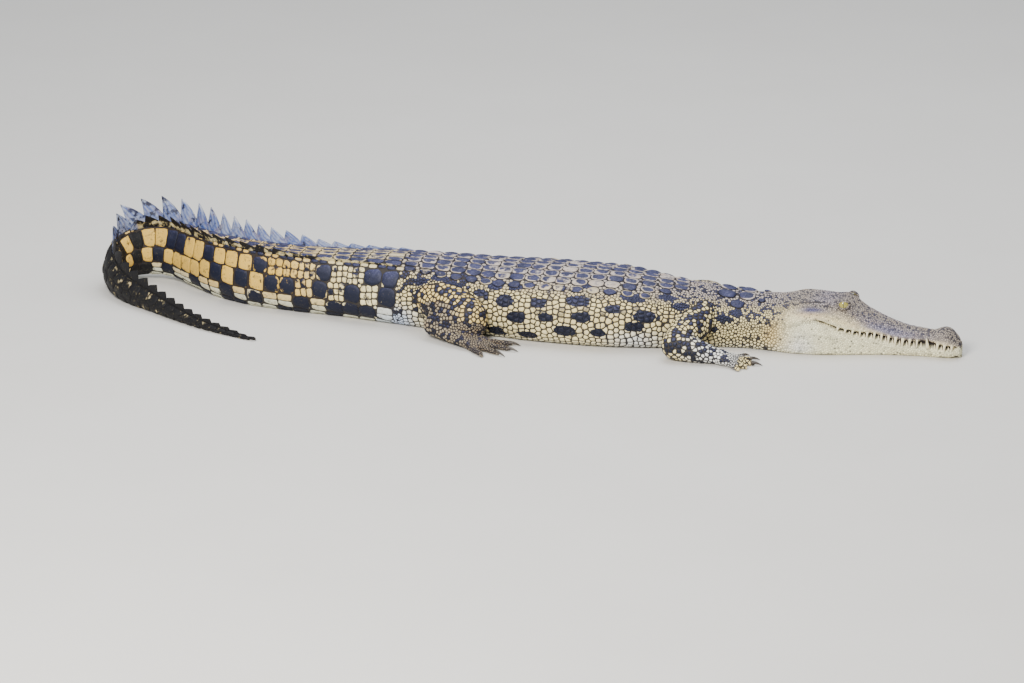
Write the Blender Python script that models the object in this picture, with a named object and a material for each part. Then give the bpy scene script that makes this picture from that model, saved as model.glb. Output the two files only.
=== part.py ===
"""A saltwater crocodile lying on the ground, as a still, life-size model.

Metres; +X is the way the head points, +Y the animal's left, +Z up, and the floor is z = 0.
A place on the animal is (along, across, up): along is the distance from the snout's tip down
the midline, across is towards the animal's left, and up is the height above the floor.
Its flesh is one long loft, parted by thin cuts where a person would name its parts.
"""

import math

import bmesh
import bpy
import numpy as np
from mathutils import Vector

GAP = 0.0003  # between two pieces that meet

# The midline on the floor, from the snout's tip to the tail's tip: (x, y).
MIDLINE = (
    (0.811, -0.240), (0.710, -0.209), (0.609, -0.179), (0.509, -0.149), (0.414, -0.126),
    (0.319, -0.112), (0.224, -0.103), (0.128, -0.083), (0.032, -0.056), (-0.064, -0.029),
    (-0.160, -0.008), (-0.257, 0.015), (-0.354, 0.043), (-0.451, 0.069), (-0.549, 0.108),
    (-0.599, 0.146), (-0.649, 0.197), (-0.691, 0.237), (-0.731, 0.253), (-0.770, 0.253),
    (-0.800, 0.235), (-0.816, 0.197), (-0.810, 0.153), (-0.788, 0.108), (-0.732, 0.041),
    (-0.635, -0.064), (-0.528, -0.147),
)
MIDDLE_OF_BOX = (-0.01261, -0.02421)  # moved to the origin, so the floor's middle is (0, 0, 0)

# Where the parts begin and end, along the midline.
EYE_AT = 0.222
MOUTH_CORNER = 0.268
NOTCH_AT = 0.060  # where the lower jaw's great tooth shows beside the snout
HEAD_END = 0.326
NECK_END = 0.500
VENT = 1.081
CREST_JOINS = 1.700  # the tail's two rows of crest scutes become one here

# Cross-sections: (along, value), all in metres unless they are shares.
HALF_WIDTH = (
    (0.000, 0.0120), (0.008, 0.0215), (0.019, 0.0275), (0.034, 0.0295), (0.060, 0.0255),
    (0.082, 0.0305), (0.111, 0.0365), (0.154, 0.0425), (0.193, 0.0530), (0.231, 0.0645),
    (0.270, 0.0740), (0.309, 0.0800), (0.360, 0.0790), (0.420, 0.0780), (0.500, 0.0920),
    (0.580, 0.1090), (0.670, 0.1220), (0.790, 0.1240), (0.900, 0.1130), (1.000, 0.0970),
    (1.080, 0.0850), (1.210, 0.0640), (1.310, 0.0525), (1.420, 0.0435), (1.550, 0.0350),
    (1.640, 0.0295), (1.750, 0.0240), (1.840, 0.0200), (1.925, 0.0160), (2.060, 0.0100),
    (2.200, 0.0040),
)
# The height of the widest place; on the head, of the line between the jaws.
WIDEST_HEIGHT = (
    (0.000, 0.0210), (0.029, 0.0242), (0.060, 0.0275), (0.110, 0.0305), (0.137, 0.0355),
    (0.158, 0.0400), (0.199, 0.0460), (0.226, 0.0535), (0.245, 0.0620), (0.270, 0.0695),
    (0.309, 0.0700), (0.360, 0.0560), (0.420, 0.0480), (0.600, 0.0520), (0.800, 0.0500),
    (1.000, 0.0500), (1.200, 0.0520), (1.400, 0.0500), (1.600, 0.0450), (1.750, 0.0380),
    (1.840, 0.0290), (1.925, 0.0210), (2.060, 0.0110), (2.200, 0.0035),
)
FLAT_HALF_WIDTH = (
    (0.000, 0.0050), (0.029, 0.0130), (0.060, 0.0160), (0.110, 0.0220), (0.156, 0.0330),
    (0.193, 0.0440), (0.231, 0.0560), (0.270, 0.0650), (0.309, 0.0690), (0.420, 0.0580),
    (0.500, 0.0620), (0.600, 0.0740), (0.700, 0.0830), (0.800, 0.0840), (0.900, 0.0760),
    (1.000, 0.0630), (1.080, 0.0500), (1.200, 0.0340), (1.300, 0.0260), (1.420, 0.0190),
    (1.550, 0.0130), (1.750, 0.0080), (1.925, 0.0050), (2.200, 0.0015),
)
# How far the lower side bulges, as a share of the half width.
LOW_SIDE = ((0.0, 0.90), (0.193, 0.95), (0.251, 1.04), (0.309, 1.04), (0.42, 0.97),
            (1.00, 0.94), (1.20, 0.90), (2.200, 0.85))
UPPER_SIDE = ((0.0, 0.80), (0.140, 0.76), (0.186, 0.62), (0.242, 0.50), (0.298, 0.52),
              (0.38, 0.76), (0.60, 0.80), (1.00, 0.76), (1.30, 0.62), (2.200, 0.55))
# The edge of the skull's table, of the back's shield and of the tail's top.
EDGE_HALF_WIDTH = (
    (0.000, 0.0070), (0.017, 0.0150), (0.032, 0.0175), (0.056, 0.0140), (0.091, 0.0180),
    (0.125, 0.0205), (0.152, 0.0235), (0.179, 0.0270), (0.215, 0.0335), (0.269, 0.0360),
    (0.292, 0.0380), (0.360, 0.0460), (0.420, 0.0450), (0.500, 0.0550), (0.600, 0.0700),
    (0.700, 0.0800), (0.800, 0.0800), (0.900, 0.0720), (1.000, 0.0600), (1.080, 0.0520),
    (1.200, 0.0420), (1.300, 0.0350), (1.420, 0.0260), (1.550, 0.0180), (1.640, 0.0110),
    (1.700, 0.0060), (1.925, 0.0040), (2.200, 0.0012),
)
EDGE_DROP = ((0.0, 0.0060), (0.058, 0.0040), (0.145, 0.0065), (0.193, 0.0045), (0.251, 0.0010),
             (0.309, 0.0020), (0.36, 0.0100), (0.60, 0.0130), (0.80, 0.0140), (1.00, 0.0130),
             (1.15, 0.0080), (1.30, 0.0030), (1.45, 0.0000), (1.65, 0.0000), (1.72, 0.0030),
             (2.200, 0.0008))
CROWN_HEIGHT = (
    (0.000, 0.0300), (0.010, 0.0445), (0.020, 0.0530), (0.033, 0.0560), (0.058, 0.0490),
    (0.079, 0.0500), (0.107, 0.0525), (0.140, 0.0610), (0.163, 0.0690), (0.191, 0.0790),
    (0.223, 0.0910), (0.252, 0.0970), (0.295, 0.0985), (0.350, 0.0935), (0.380, 0.0930),
    (0.436, 0.0950), (0.485, 0.1010), (0.535, 0.1080), (0.612, 0.1190), (0.671, 0.1250),
    (0.790, 0.1260), (0.896, 0.1250), (1.013, 0.1280), (1.110, 0.1270), (1.210, 0.1210),
    (1.311, 0.1180), (1.420, 0.1180), (1.550, 0.1100), (1.640, 0.1040), (1.700, 0.0980),
    (1.760, 0.0900), (1.800, 0.0770), (1.850, 0.0600), (1.940, 0.0410), (2.070, 0.0200),
    (2.200, 0.0065),
)
# The tail's bend lies a little off the floor, and the chin's tip is turned up.
LIFT = ((0.000, 0.0120), (0.012, 0.0035), (0.030, 0.0), (0.200, 0.0), (1.450, 0.0),
        (1.560, 0.0060), (1.640, 0.0120), (1.700, 0.0100), (1.790, 0.0020), (1.850, 0.0),
        (2.200, 0.0))

# The tail's crest: the height of its scutes above the tail's top.
CREST_HEIGHT = (
    (1.081, 0.0050), (1.160, 0.0068), (1.210, 0.0098), (1.280, 0.0160), (1.340, 0.0255),
    (1.420, 0.0330), (1.520, 0.0410), (1.640, 0.0480), (1.700, 0.0480), (1.760, 0.0430),
    (1.850, 0.0290), (1.940, 0.0200), (2.070, 0.0105), (2.200, 0.0030),
)
DOUBLE_WHORLS = 19
SINGLE_WHORLS = 19
LAST_WHORL = 0.60  # the last whorl's length, as a share of the first single one's
CREST_FLARE = 0.30  # outward, as a share of a scute's height
CREST_LEAN = 0.30  # backward, as a share of a scute's height
CREST_STEPS = ((0.0, 0.12), (0.48, 0.66), (0.86, 1.0))  # (share of the whorl, of the height)
SMALL_CREST_STEPS = ((0.0, 0.12), (0.80, 1.0))
TALL_WHORLS = range(6, 20)
TAIL_LENGTHS = (0, 6, 11, 16, 20, 26, 38)  # the whorls at which the tail is parted

LIP = 0.0040  # the half height of the open groove between the lips
LIP_DEPTH = 0.0100
JAW_INSET = 0.0035  # the lower lip lies inside the upper teeth
INSET_FADE = 0.036  # and comes out to the upper lip over this length before the mouth's corner
LIP_FADE = 0.030  # the groove between the lips closes over this length
NOTCH_REACH = 0.009
BROW_RISE = 0.0150
FAR_BROW = 0.70  # the left brow's share of the rise, on the lowered side of the head
BROW_ACROSS = 0.0295
EYE_RADIUS = 0.0112
EYE_ACROSS = 0.0335
EYE_UP = {-1: 0.0955, 1: 0.0880}

# A cross-section's guide points between its named ones.
LOW_OUT = 0.86  # how far out the lower side's point is, as a share of its bulge
LOW_UP = 0.36  # and how high, as a share of the widest place's height
SHOULDER_UP = 0.60  # the upper side's point, from the widest place up to the edge
FRONT_LIFT = 0.3  # how much of the chin's lift the line between the jaws takes part in

TOOTH_SIDES = 4
UPPER_TEETH = 17
LOWER_TEETH = 15
FIRST_TOOTH = 0.013
LAST_TOOTH = 0.226
GREAT_LOWER_TOOTH = 3
SMALL_TOOTH = 0.55  # the least share of the full size that a tooth has
TOOTH_LEAN = 0.001  # each tip lies this far behind its root
GREAT_TEETH = ((0.112, 0.030), (0.032, 0.014))  # (place, reach) of the two swells of great teeth
# Teeth: radius, then root and tip, each as (out from the lip's edge, up from the lip's line).
UPPER_TOOTH = (0.0030, (-0.0040, 0.0050), (0.0006, -0.0110))
LOWER_TOOTH = (0.0024, (-0.0028, -0.0055), (-0.0012, 0.0012))
NOTCH_TOOTH = (0.0026, (-0.0002, -0.0065), (0.0030, 0.0120))

COLOURS = {
    "head": (0.50, 0.47, 0.44), "jaw": (0.72, 0.62, 0.42), "neck": (0.55, 0.48, 0.34),
    "trunk": (0.62, 0.54, 0.34), "tail": (0.70, 0.54, 0.25), "limb": (0.50, 0.47, 0.36),
    "eye": (0.45, 0.40, 0.12),
}


# ---------------------------------------------------------------- shape functions

def through(table, at, steady=True):
    """A smooth curve through a table's values; a steady one never swings past them."""
    knots = np.array([row[0] for row in table], float)
    values = np.array([row[1] for row in table], float)
    at = np.clip(np.asarray(at, float), knots[0], knots[-1])
    slopes = np.gradient(values, knots)
    if steady:
        rise = np.diff(values) / np.diff(knots)
        before, after = np.append(rise[0], rise), np.append(rise, rise[-1])
        most = 3 * np.minimum(np.abs(before), np.abs(after))
        slopes = np.where(before * after > 0, np.clip(slopes, -most, most), 0.0)
    k = np.clip(np.searchsorted(knots, at, side="right") - 1, 0, len(knots) - 2)
    span = knots[k + 1] - knots[k]
    u = (at - knots[k]) / span
    start = (1 + 2 * u) * (1 - u) ** 2 * values[k] + u * (1 - u) ** 2 * span * slopes[k]
    end = u * u * (3 - 2 * u) * values[k + 1] - u * u * (1 - u) * span * slopes[k + 1]
    return start + end


def measured_midline():
    """Many points along the midline, each with its distance from the snout's tip."""
    points = np.array(MIDLINE) - np.array(MIDDLE_OF_BOX)
    chords = np.hypot(*np.diff(points, axis=0).T)
    knots = np.concatenate(([0.0], np.cumsum(chords)))
    at = np.linspace(0.0, knots[-1], 1500)
    x = through(tuple(zip(knots, points[:, 0])), at, steady=False)
    y = through(tuple(zip(knots, points[:, 1])), at, steady=False)
    along = np.concatenate(([0.0], np.cumsum(np.hypot(np.diff(x), np.diff(y)))))
    return along, x, y


ALONG, LINE_X, LINE_Y = measured_midline()
LENGTH = float(ALONG[-1])


def place(along, across, up):
    """The point in space of a place on the animal."""
    x = np.interp(along, ALONG, LINE_X)
    y = np.interp(along, ALONG, LINE_Y)
    step = 0.004
    ahead = max(along - step, 0.0)
    behind = min(along + step, LENGTH)
    dx = np.interp(ahead, ALONG, LINE_X) - np.interp(behind, ALONG, LINE_X)
    dy = np.interp(ahead, ALONG, LINE_Y) - np.interp(behind, ALONG, LINE_Y)
    run = math.hypot(dx, dy)
    return Vector((x - across * dy / run, y + across * dx / run, up))


def section(along):
    """The half cross-section's guide points, from the belly's middle up to the crown."""
    half = through(HALF_WIDTH, along)
    widest = through(WIDEST_HEIGHT, along)
    flat = through(FLAT_HALF_WIDTH, along)
    edge = through(EDGE_HALF_WIDTH, along)
    crown = through(CROWN_HEIGHT, along)
    edge_up = crown - through(EDGE_DROP, along)
    low = flat + (half * through(LOW_SIDE, along) - flat) * LOW_OUT
    side = edge + (half - edge) * through(UPPER_SIDE, along)
    return [(0.0, 0.0), (flat, 0.0), (low, widest * LOW_UP), (half, widest),
            (side, widest + (edge_up - widest) * SHOULDER_UP), (edge, edge_up), (0.0, crown)]


def outline(along, turn):
    """(across, up) on the right half's outline; turn runs from 0, the belly, to 6, the crown."""
    guide = section(along)
    first, last = guide[1], guide[-2]
    guide = [(-first[0], first[1])] + guide + [(-last[0], last[1])]
    k = min(int(turn), 5)
    u = turn - k
    a, b, c, d = (np.array(guide[k + i]) for i in range(4))
    point = b + 0.5 * u * (c - a + u * (2 * a - 5 * b + 4 * c - d + u * (3 * (b - c) + d - a)))
    return float(max(point[0], 0.0)), float(max(point[1], 0.0))


def whorl_starts():
    """Where each whorl of the tail begins, and where the last one ends."""
    double = (CREST_JOINS - VENT) / DOUBLE_WHORLS
    starts = [VENT + double * k for k in range(DOUBLE_WHORLS)]
    shares = np.linspace(1.0, LAST_WHORL, SINGLE_WHORLS)
    ends = np.cumsum(shares) / np.sum(shares) * (LENGTH - 0.004 - CREST_JOINS)
    return starts + [CREST_JOINS] + [CREST_JOINS + float(end) for end in ends]


def brow(along, across):
    """How far the brow over the eye stands up; across is below 0 on the right."""
    rise = BROW_RISE * (FAR_BROW if across > 0 else 1.0)
    return rise * math.exp(-((along - EYE_AT - 0.002) / 0.019) ** 2
                           - ((abs(across) - BROW_ACROSS) / 0.0105) ** 2)


# ---------------------------------------------------------------- making meshes

def material(name):
    kind = name.split("_")[0]
    group = {"lower": "jaw", "right": "limb", "left": "limb"}.get(kind, kind)
    if name.endswith("_eye"):
        group = "eye"
    finish = bpy.data.materials.new(name)
    finish.use_nodes = True
    shader = finish.node_tree.nodes["Principled BSDF"]
    shader.inputs["Base Color"].default_value = (*COLOURS[group], 1.0)
    shader.inputs["Roughness"].default_value = 0.15 if group == "eye" else 0.55
    return finish


def make_object(name, bm, cutter=False):
    bmesh.ops.recalc_face_normals(bm, faces=bm.faces)
    mesh = bpy.data.meshes.new(name)
    bm.to_mesh(mesh)
    bm.free()
    obj = bpy.data.objects.new(name, mesh)
    bpy.context.collection.objects.link(obj)
    if cutter:
        obj.hide_render = True
        obj.display_type = "WIRE"
    else:
        mesh.materials.append(material(name))
        mesh.shade_smooth()
    return obj


def add_loft(bm, rings):
    """A closed tube through rings of points, all with the same number of points."""
    loops = [[bm.verts.new(point) for point in ring] for ring in rings]
    count = len(rings[0])
    for near, far in zip(loops, loops[1:]):
        for k in range(count):
            n = (k + 1) % count
            bm.faces.new((near[k], near[n], far[n], far[k]))
    for loop in (loops[0], loops[-1]):
        middle = bm.verts.new(sum((v.co for v in loop), Vector()) / count)
        for k in range(count):
            bm.faces.new((loop[k], loop[(k + 1) % count], middle))


def boolean(obj, other, operation):
    cut = obj.modifiers.new(operation.lower(), "BOOLEAN")
    cut.operation = operation
    cut.object = other
    cut.solver = "EXACT"
    cut.use_self = operation == "UNION"


def both_sides(half):
    """A whole ring from its right half, whose first and last points are on the midline."""
    right = [(-across, up) for across, up in half]
    left = [(across, up) for across, up in half[1:-1]]
    return right + left[::-1]


def parted(stations, start, end):
    """The stations of one piece, with half a gap taken off each end."""
    inner = [at for at in stations if start + 0.002 < at < end - 0.002]
    return [start + GAP / 2] + inner + [end - GAP / 2]


# ---------------------------------------------------------------- head and jaws

HEAD_STATIONS = (0.000, 0.004, 0.012, 0.023, 0.035, 0.048, 0.060, 0.075, 0.095, 0.116, 0.140,
                 0.162, 0.183, 0.201, 0.214, 0.226, 0.236, 0.248, 0.261, 0.276, 0.294, 0.311)


def lip_opening(along):
    """Half the height of the groove between the lips: closed behind the mouth's corner."""
    share = min(max((MOUTH_CORNER - along) / LIP_FADE, 0.0), 1.0)
    return GAP / 2 + (LIP - GAP / 2) * share


def skull_ring(along):
    half, widest = outline(along, 3)
    inner = max(half - LIP_DEPTH, half * 0.4)
    points = [(0.0, widest + GAP / 2), (inner, widest + GAP / 2),
              (half, widest + lip_opening(along))]
    for turn in (3.6, 4.1, 4.6, 5.0, 6.0):
        across, up = outline(along, turn)
        points.append((across, max(up, points[2][1] + 0.001)))
    front = through(LIFT, along) * FRONT_LIFT
    return [place(along, across, up + front + (brow(along, across) if up > points[2][1] else 0.0))
            for across, up in both_sides(points)]


def jaw_inset(along):
    """The lower jaw is narrower than the upper one, but for the notch of its great tooth."""
    notch = math.exp(-((along - NOTCH_AT) / NOTCH_REACH) ** 2)
    fade = min(max((MOUTH_CORNER - along) / INSET_FADE, 0.0), 1.0)
    return JAW_INSET * (1 - notch) * fade


def jaw_ring(along):
    half, widest = outline(along, 3)
    raised = through(LIFT, along)
    inset = jaw_inset(along)
    inner = max(half - LIP_DEPTH, half * 0.4)
    points = []
    for turn in (0.0, 1.0, 1.5, 2.0, 2.5):
        across, up = outline(along, turn)
        points.append((max(across - inset * turn / 3, 0.0), max(up, raised)))
    line = widest + raised * FRONT_LIFT
    points += [(half - inset, line - lip_opening(along)), (inner, line - GAP / 2),
               (0.0, line - GAP / 2)]
    return [place(along, across, up) for across, up in both_sides(points)]


def add_spike(bm, root, tip, radius):
    """A cone of a few sides from its root, inside the flesh, to its tip."""
    turned = (tip - root).to_track_quat("Z", "Y").to_matrix()
    base = []
    for k in range(TOOTH_SIDES):
        angle = 2 * math.pi * k / TOOTH_SIDES
        step = turned @ Vector((math.cos(angle), math.sin(angle), 0)) * radius
        base.append(bm.verts.new(root + step))
    point = bm.verts.new(tip)
    for k in range(TOOTH_SIDES):
        bm.faces.new((base[k], base[(k + 1) % TOOTH_SIDES], point))
    bm.faces.new(base)


def add_tooth(bm, along, side, edge, lip, kind, size=1.0):
    radius, (root_out, root_up), (tip_out, tip_up) = kind
    root = place(along, side * (edge + root_out), lip + root_up)
    tip = place(along + TOOTH_LEAN, side * (edge + tip_out), lip + tip_up * size)
    add_spike(bm, root, tip, radius * size)


def tooth_size(along):
    """The share of the full size that a tooth has: great ones before and behind the notch."""
    swell = sum(math.exp(-((along - at) / reach) ** 2) for at, reach in GREAT_TEETH)
    return SMALL_TOOTH + (1 - SMALL_TOOTH) * min(swell, 1.0)


def lip_at(along):
    """The half width and the height of the line between the jaws."""
    half, widest = outline(along, 3)
    return half, widest + through(LIFT, along) * FRONT_LIFT


def add_upper_teeth(bm):
    for side in (-1, 1):
        for k in range(UPPER_TEETH):
            along = FIRST_TOOTH + (LAST_TOOTH - FIRST_TOOTH) * k / (UPPER_TEETH - 1)
            if abs(along - NOTCH_AT) > NOTCH_REACH:
                add_tooth(bm, along, side, *lip_at(along), UPPER_TOOTH, tooth_size(along))


def add_lower_teeth(bm):
    spacing = (LAST_TOOTH - FIRST_TOOTH) / (UPPER_TEETH - 1)
    for side in (-1, 1):
        for k in range(LOWER_TEETH):
            if k == GREAT_LOWER_TOOTH:
                add_tooth(bm, NOTCH_AT, side, *lip_at(NOTCH_AT), NOTCH_TOOTH)
                continue
            along = FIRST_TOOTH + spacing * (k + 0.5)
            half, lip = lip_at(along)
            add_tooth(bm, along, side, half - jaw_inset(along), lip, LOWER_TOOTH)


def make_eye(name, side, cutter=False):
    bm = bmesh.new()
    radius = EYE_RADIUS + (GAP if cutter else 0.0)
    bmesh.ops.create_uvsphere(bm, u_segments=12, v_segments=7, radius=radius)
    bmesh.ops.translate(bm, verts=bm.verts, vec=place(EYE_AT, side * EYE_ACROSS, EYE_UP[side]))
    return make_object(name, bm, cutter)


def make_head():
    bm = bmesh.new()
    add_loft(bm, [skull_ring(at) for at in parted(HEAD_STATIONS, 0.0 - GAP / 2, HEAD_END)])
    skull = make_object("head", bm)
    bm = bmesh.new()
    add_upper_teeth(bm)
    boolean(skull, make_object("upper_teeth_shape", bm, cutter=True), "UNION")
    for name, side in (("right_eye", -1), ("left_eye", 1)):
        make_eye(name, side)
        boolean(skull, make_eye(name + "_socket", side, cutter=True), "DIFFERENCE")
    bm = bmesh.new()
    add_loft(bm, [jaw_ring(at) for at in parted(HEAD_STATIONS, 0.003, HEAD_END)])
    jaw = make_object("lower_jaw", bm)
    bm = bmesh.new()
    add_lower_teeth(bm)
    boolean(jaw, make_object("lower_teeth_shape", bm, cutter=True), "UNION")


# ---------------------------------------------------------------- neck, trunk and tail

TRUNK_TURNS = (0.0, 1.0, 1.6, 2.3, 3.0, 3.6, 4.3, 5.0, 6.0)
TAIL_TURNS = (0.0, 1.0, 2.0, 3.0, 4.0, 4.75, 5.0, 5.3, 6.0)
TRUNK_STEP = 0.040


def body_ring(along, grow=0.0):
    """A ring of the neck or trunk; grow widens it all round for a cutter."""
    half = [outline(along, turn) for turn in TRUNK_TURNS]
    ring = []
    for k, (across, up) in enumerate(half):
        before, after = half[max(k - 1, 0)], half[min(k + 1, len(half) - 1)]
        slope = math.hypot(after[0] - before[0], after[1] - before[1])
        across += grow * (after[1] - before[1]) / slope
        up -= grow * (after[0] - before[0]) / slope
        ring.append((0.0 if k in (0, len(half) - 1) else across, up))
    lift = through(LIFT, along)
    return [place(along, across, up + lift) for across, up in both_sides(ring)]


def body_stations(start, end):
    count = round((end - start) / TRUNK_STEP)
    return [start + (end - start) * k / count for k in range(count + 1)]


def make_body_length(name, start, end):
    bm = bmesh.new()
    add_loft(bm, [body_ring(at) for at in parted(body_stations(start, end), start, end)])
    return make_object(name, bm)


def tail_ring(along, rise):
    """A ring of the tail, whose crest stands up by a share of its full height."""
    height = through(CREST_HEIGHT, along) * rise
    single = min(max((along - CREST_JOINS + 0.020) / 0.030, 0.0), 1.0)
    lift = through(LIFT, along)
    ring = []
    for turn in TAIL_TURNS:
        across, up = outline(along, turn)
        share = {5.0: 1 - single, 6.0: single}.get(turn, 0.0)
        flare = CREST_FLARE * height * share if turn == 5.0 else 0.0
        ring.append((across + flare, up + lift + height * share, CREST_LEAN * height * share))
    right = [place(min(along + lean, LENGTH), -across, up) for across, up, lean in ring]
    left = [place(min(along + lean, LENGTH), across, up) for across, up, lean in ring[1:-1]]
    return right + left[::-1]


def make_tail():
    starts = whorl_starts()
    for number, (first, last) in enumerate(zip(TAIL_LENGTHS, TAIL_LENGTHS[1:]), 1):
        rings = []
        for whorl in range(first, last):
            steps = CREST_STEPS if whorl in TALL_WHORLS else SMALL_CREST_STEPS
            for share, rise in steps:
                at = starts[whorl] + (starts[whorl + 1] - starts[whorl]) * share
                offset = GAP / 2 if whorl == first and share == 0.0 else 0.0
                rings.append(tail_ring(at + offset, rise))
        rings.append(tail_ring(starts[last] - GAP / 2, CREST_STEPS[0][1]))
        bm = bmesh.new()
        add_loft(bm, rings)
        make_object(f"tail_{number}", bm)


def body_cutter():
    """The neck, trunk and the tail's base in one, a little larger, to cut the limbs' roots."""
    stations = body_stations(HEAD_END, NECK_END) + body_stations(NECK_END, VENT)[1:]
    rings = [body_ring(at, 2 * GAP) for at in stations]
    rings += [body_ring(VENT + TRUNK_STEP * k, 8 * GAP) for k in (1, 2, 3, 4)]
    bm = bmesh.new()
    add_loft(bm, rings)
    return make_object("body_shape", bm, cutter=True)


# ---------------------------------------------------------------- limbs

# (along, across, up) of each joint on the right side, with the limb's half width and half
# height there.
FORELIMB = {
    "joints": ((0.500, 0.050, 0.062), (0.550, 0.150, 0.030), (0.464, 0.164, 0.017)),
    "sizes": ((0.040, 0.034), (0.026, 0.028), (0.017, 0.0155)),
    "hand": (0.424, 0.164, 0.010),
    "hand_sizes": ((0.017, 0.0150), (0.027, 0.0105)),
    "toes": (-52, -24, 2, 27, 50),
    "toe_lengths": (0.030, 0.040, 0.044, 0.038, 0.030),
    "clawed": 3,
}
HINDLIMB = {
    "joints": ((1.020, 0.050, 0.066), (0.932, 0.126, 0.046), (1.004, 0.122, 0.027)),
    "sizes": ((0.050, 0.042), (0.034, 0.040), (0.020, 0.021)),
    "hand": (0.908, 0.160, 0.011),
    "hand_sizes": ((0.019, 0.0200), (0.031, 0.0110)),
    "toes": (-26, -8, 9, 27),
    "toe_lengths": (0.056, 0.068, 0.064, 0.050),
    "clawed": 3,
}
LIMB_SIDES = 12
TOE_SIDES = 7
TOE_SPREAD = 0.72  # the toes' roots, as a share of the hand's half width
TOE_THICK = 0.66  # a toe's half thickness, as a share of the hand's half height
TOE_UP = 0.92  # its middle's height over its half thickness, so that its sole is flat
CLAW_THICK = 0.33  # a claw's radius at its root, as a share of the hand's half height
CLAW_FROM = 0.80  # where a claw starts, as a share of the toe's length
CLAW_BEYOND = 0.016
CLAW_TIP_UP = 0.0012


def limb_place(joint, side):
    along, across, up = joint
    return place(along, side * across, up)


def limb_ring(middle, heading, half_width, half_height, sides=LIMB_SIDES):
    """An oval ring across a heading, flattened where it would pass through the floor."""
    sideways = heading.cross(Vector((0, 0, 1))).normalized()
    upward = sideways.cross(heading).normalized()
    ring = []
    for k in range(sides):
        angle = 2 * math.pi * k / sides
        point = middle + sideways * half_width * math.cos(angle)
        point += upward * half_height * math.sin(angle)
        ring.append(Vector((point.x, point.y, max(point.z, 0.0))))
    return ring


def segment_rings(start, end, size_start, size_end):
    """A limb segment's rings, with a round end beyond each of its joints."""
    heading = (end - start).normalized()
    rings = []
    for reach, share in ((0.96, 0.28), (0.70, 0.72)):
        middle = start - heading * size_start[0] * reach
        rings.append(limb_ring(middle, heading, size_start[0] * share, size_start[1] * share))
    for k in range(5):
        u = k / 4
        swell = 1.0 + 0.10 * math.sin(math.pi * u)
        size = [(a + (b - a) * u) * swell for a, b in zip(size_start, size_end)]
        rings.append(limb_ring(start.lerp(end, u), heading, *size))
    for reach, share in ((0.70, 0.72), (0.96, 0.28)):
        middle = end + heading * size_end[0] * reach
        rings.append(limb_ring(middle, heading, size_end[0] * share, size_end[1] * share))
    return rings


def trim(bm, at, normal):
    """Takes away what lies on the normal's side of a plane and closes the cut."""
    cut = bmesh.ops.bisect_plane(bm, geom=bm.verts[:] + bm.edges[:] + bm.faces[:],
                                 dist=1e-7, plane_co=at - normal * GAP / 2, plane_no=normal,
                                 clear_outer=True)
    edges = [item for item in cut["geom_cut"] if isinstance(item, bmesh.types.BMEdge)]
    bmesh.ops.edgeloop_fill(bm, edges=edges)


def fold_plane(before, joint, after):
    """The plane between two segments that meet at a joint; its normal points to the second."""
    return ((after - joint).normalized() - (before - joint).normalized()).normalized()


def add_toes(bm, limb, side, knuckles, heading):
    sideways = heading.cross(Vector((0, 0, 1))).normalized()
    half_width, half_height = limb["hand_sizes"][1]
    count = len(limb["toes"])
    for k, (turn, length) in enumerate(zip(limb["toes"], limb["toe_lengths"])):
        angle = -math.radians(turn) * side
        ahead = heading * math.cos(angle) + sideways * math.sin(angle)
        spread = -(k / (count - 1) - 0.5) * 2 * side
        root = knuckles + sideways * spread * half_width * TOE_SPREAD
        root.z = 0.0
        rings = []
        for share, size in ((-0.25, 0.90), (0.05, 1.0), (0.85, 0.72), (1.0, 0.42)):
            middle = root + ahead * length * share
            radius = half_height * TOE_THICK * size
            middle.z = radius * TOE_UP
            rings.append(limb_ring(middle, ahead, radius, radius, TOE_SIDES))
        add_loft(bm, rings)
        if k < limb["clawed"]:
            claw_root = root + ahead * length * CLAW_FROM
            claw_root.z = half_height * 0.50
            claw_tip = root + ahead * (length + CLAW_BEYOND)
            claw_tip.z = CLAW_TIP_UP
            add_spike(bm, claw_root, claw_tip, half_height * CLAW_THICK)


def make_limb(side, limb, names, shape):
    """The three segments of a limb; what would lie inside the body's side is cut off."""
    label = "left" if side > 0 else "right"
    root, bend, end = (limb_place(joint, side) for joint in limb["joints"])
    tip = limb_place(limb["hand"], side)
    sizes = limb["sizes"]
    first_plane = fold_plane(root, bend, end)
    second_plane = fold_plane(bend, end, tip)

    bm = bmesh.new()
    add_loft(bm, segment_rings(root, bend, sizes[0], sizes[1]))
    trim(bm, bend, first_plane)
    upper = make_object(f"{label}_{names[0]}", bm)
    boolean(upper, shape, "DIFFERENCE")

    bm = bmesh.new()
    add_loft(bm, segment_rings(bend, end, sizes[1], sizes[2]))
    trim(bm, bend, -first_plane)
    trim(bm, end, second_plane)
    boolean(make_object(f"{label}_{names[1]}", bm), shape, "DIFFERENCE")

    bm = bmesh.new()
    hand_sizes = limb["hand_sizes"]
    add_loft(bm, segment_rings(end, tip, hand_sizes[0], hand_sizes[1]))
    trim(bm, end, -second_plane)
    palm = make_object(f"{label}_{names[2]}", bm)
    heading = (tip - end)
    heading.z = 0.0
    bm = bmesh.new()
    add_toes(bm, limb, side, tip, heading.normalized())
    boolean(palm, make_object(f"{label}_{names[2]}_toes_shape", bm, cutter=True), "UNION")


# ---------------------------------------------------------------- the model

def main():
    for obj in list(bpy.data.objects):
        bpy.data.objects.remove(obj, do_unlink=True)
    make_head()
    make_body_length("neck", HEAD_END, NECK_END)
    make_body_length("trunk", NECK_END, VENT)
    make_tail()
    shape = body_cutter()
    for side in (-1, 1):
        make_limb(side, FORELIMB, ("upper_arm", "forearm", "hand"), shape)
        make_limb(side, HINDLIMB, ("thigh", "shank", "foot"), shape)


main()
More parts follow.
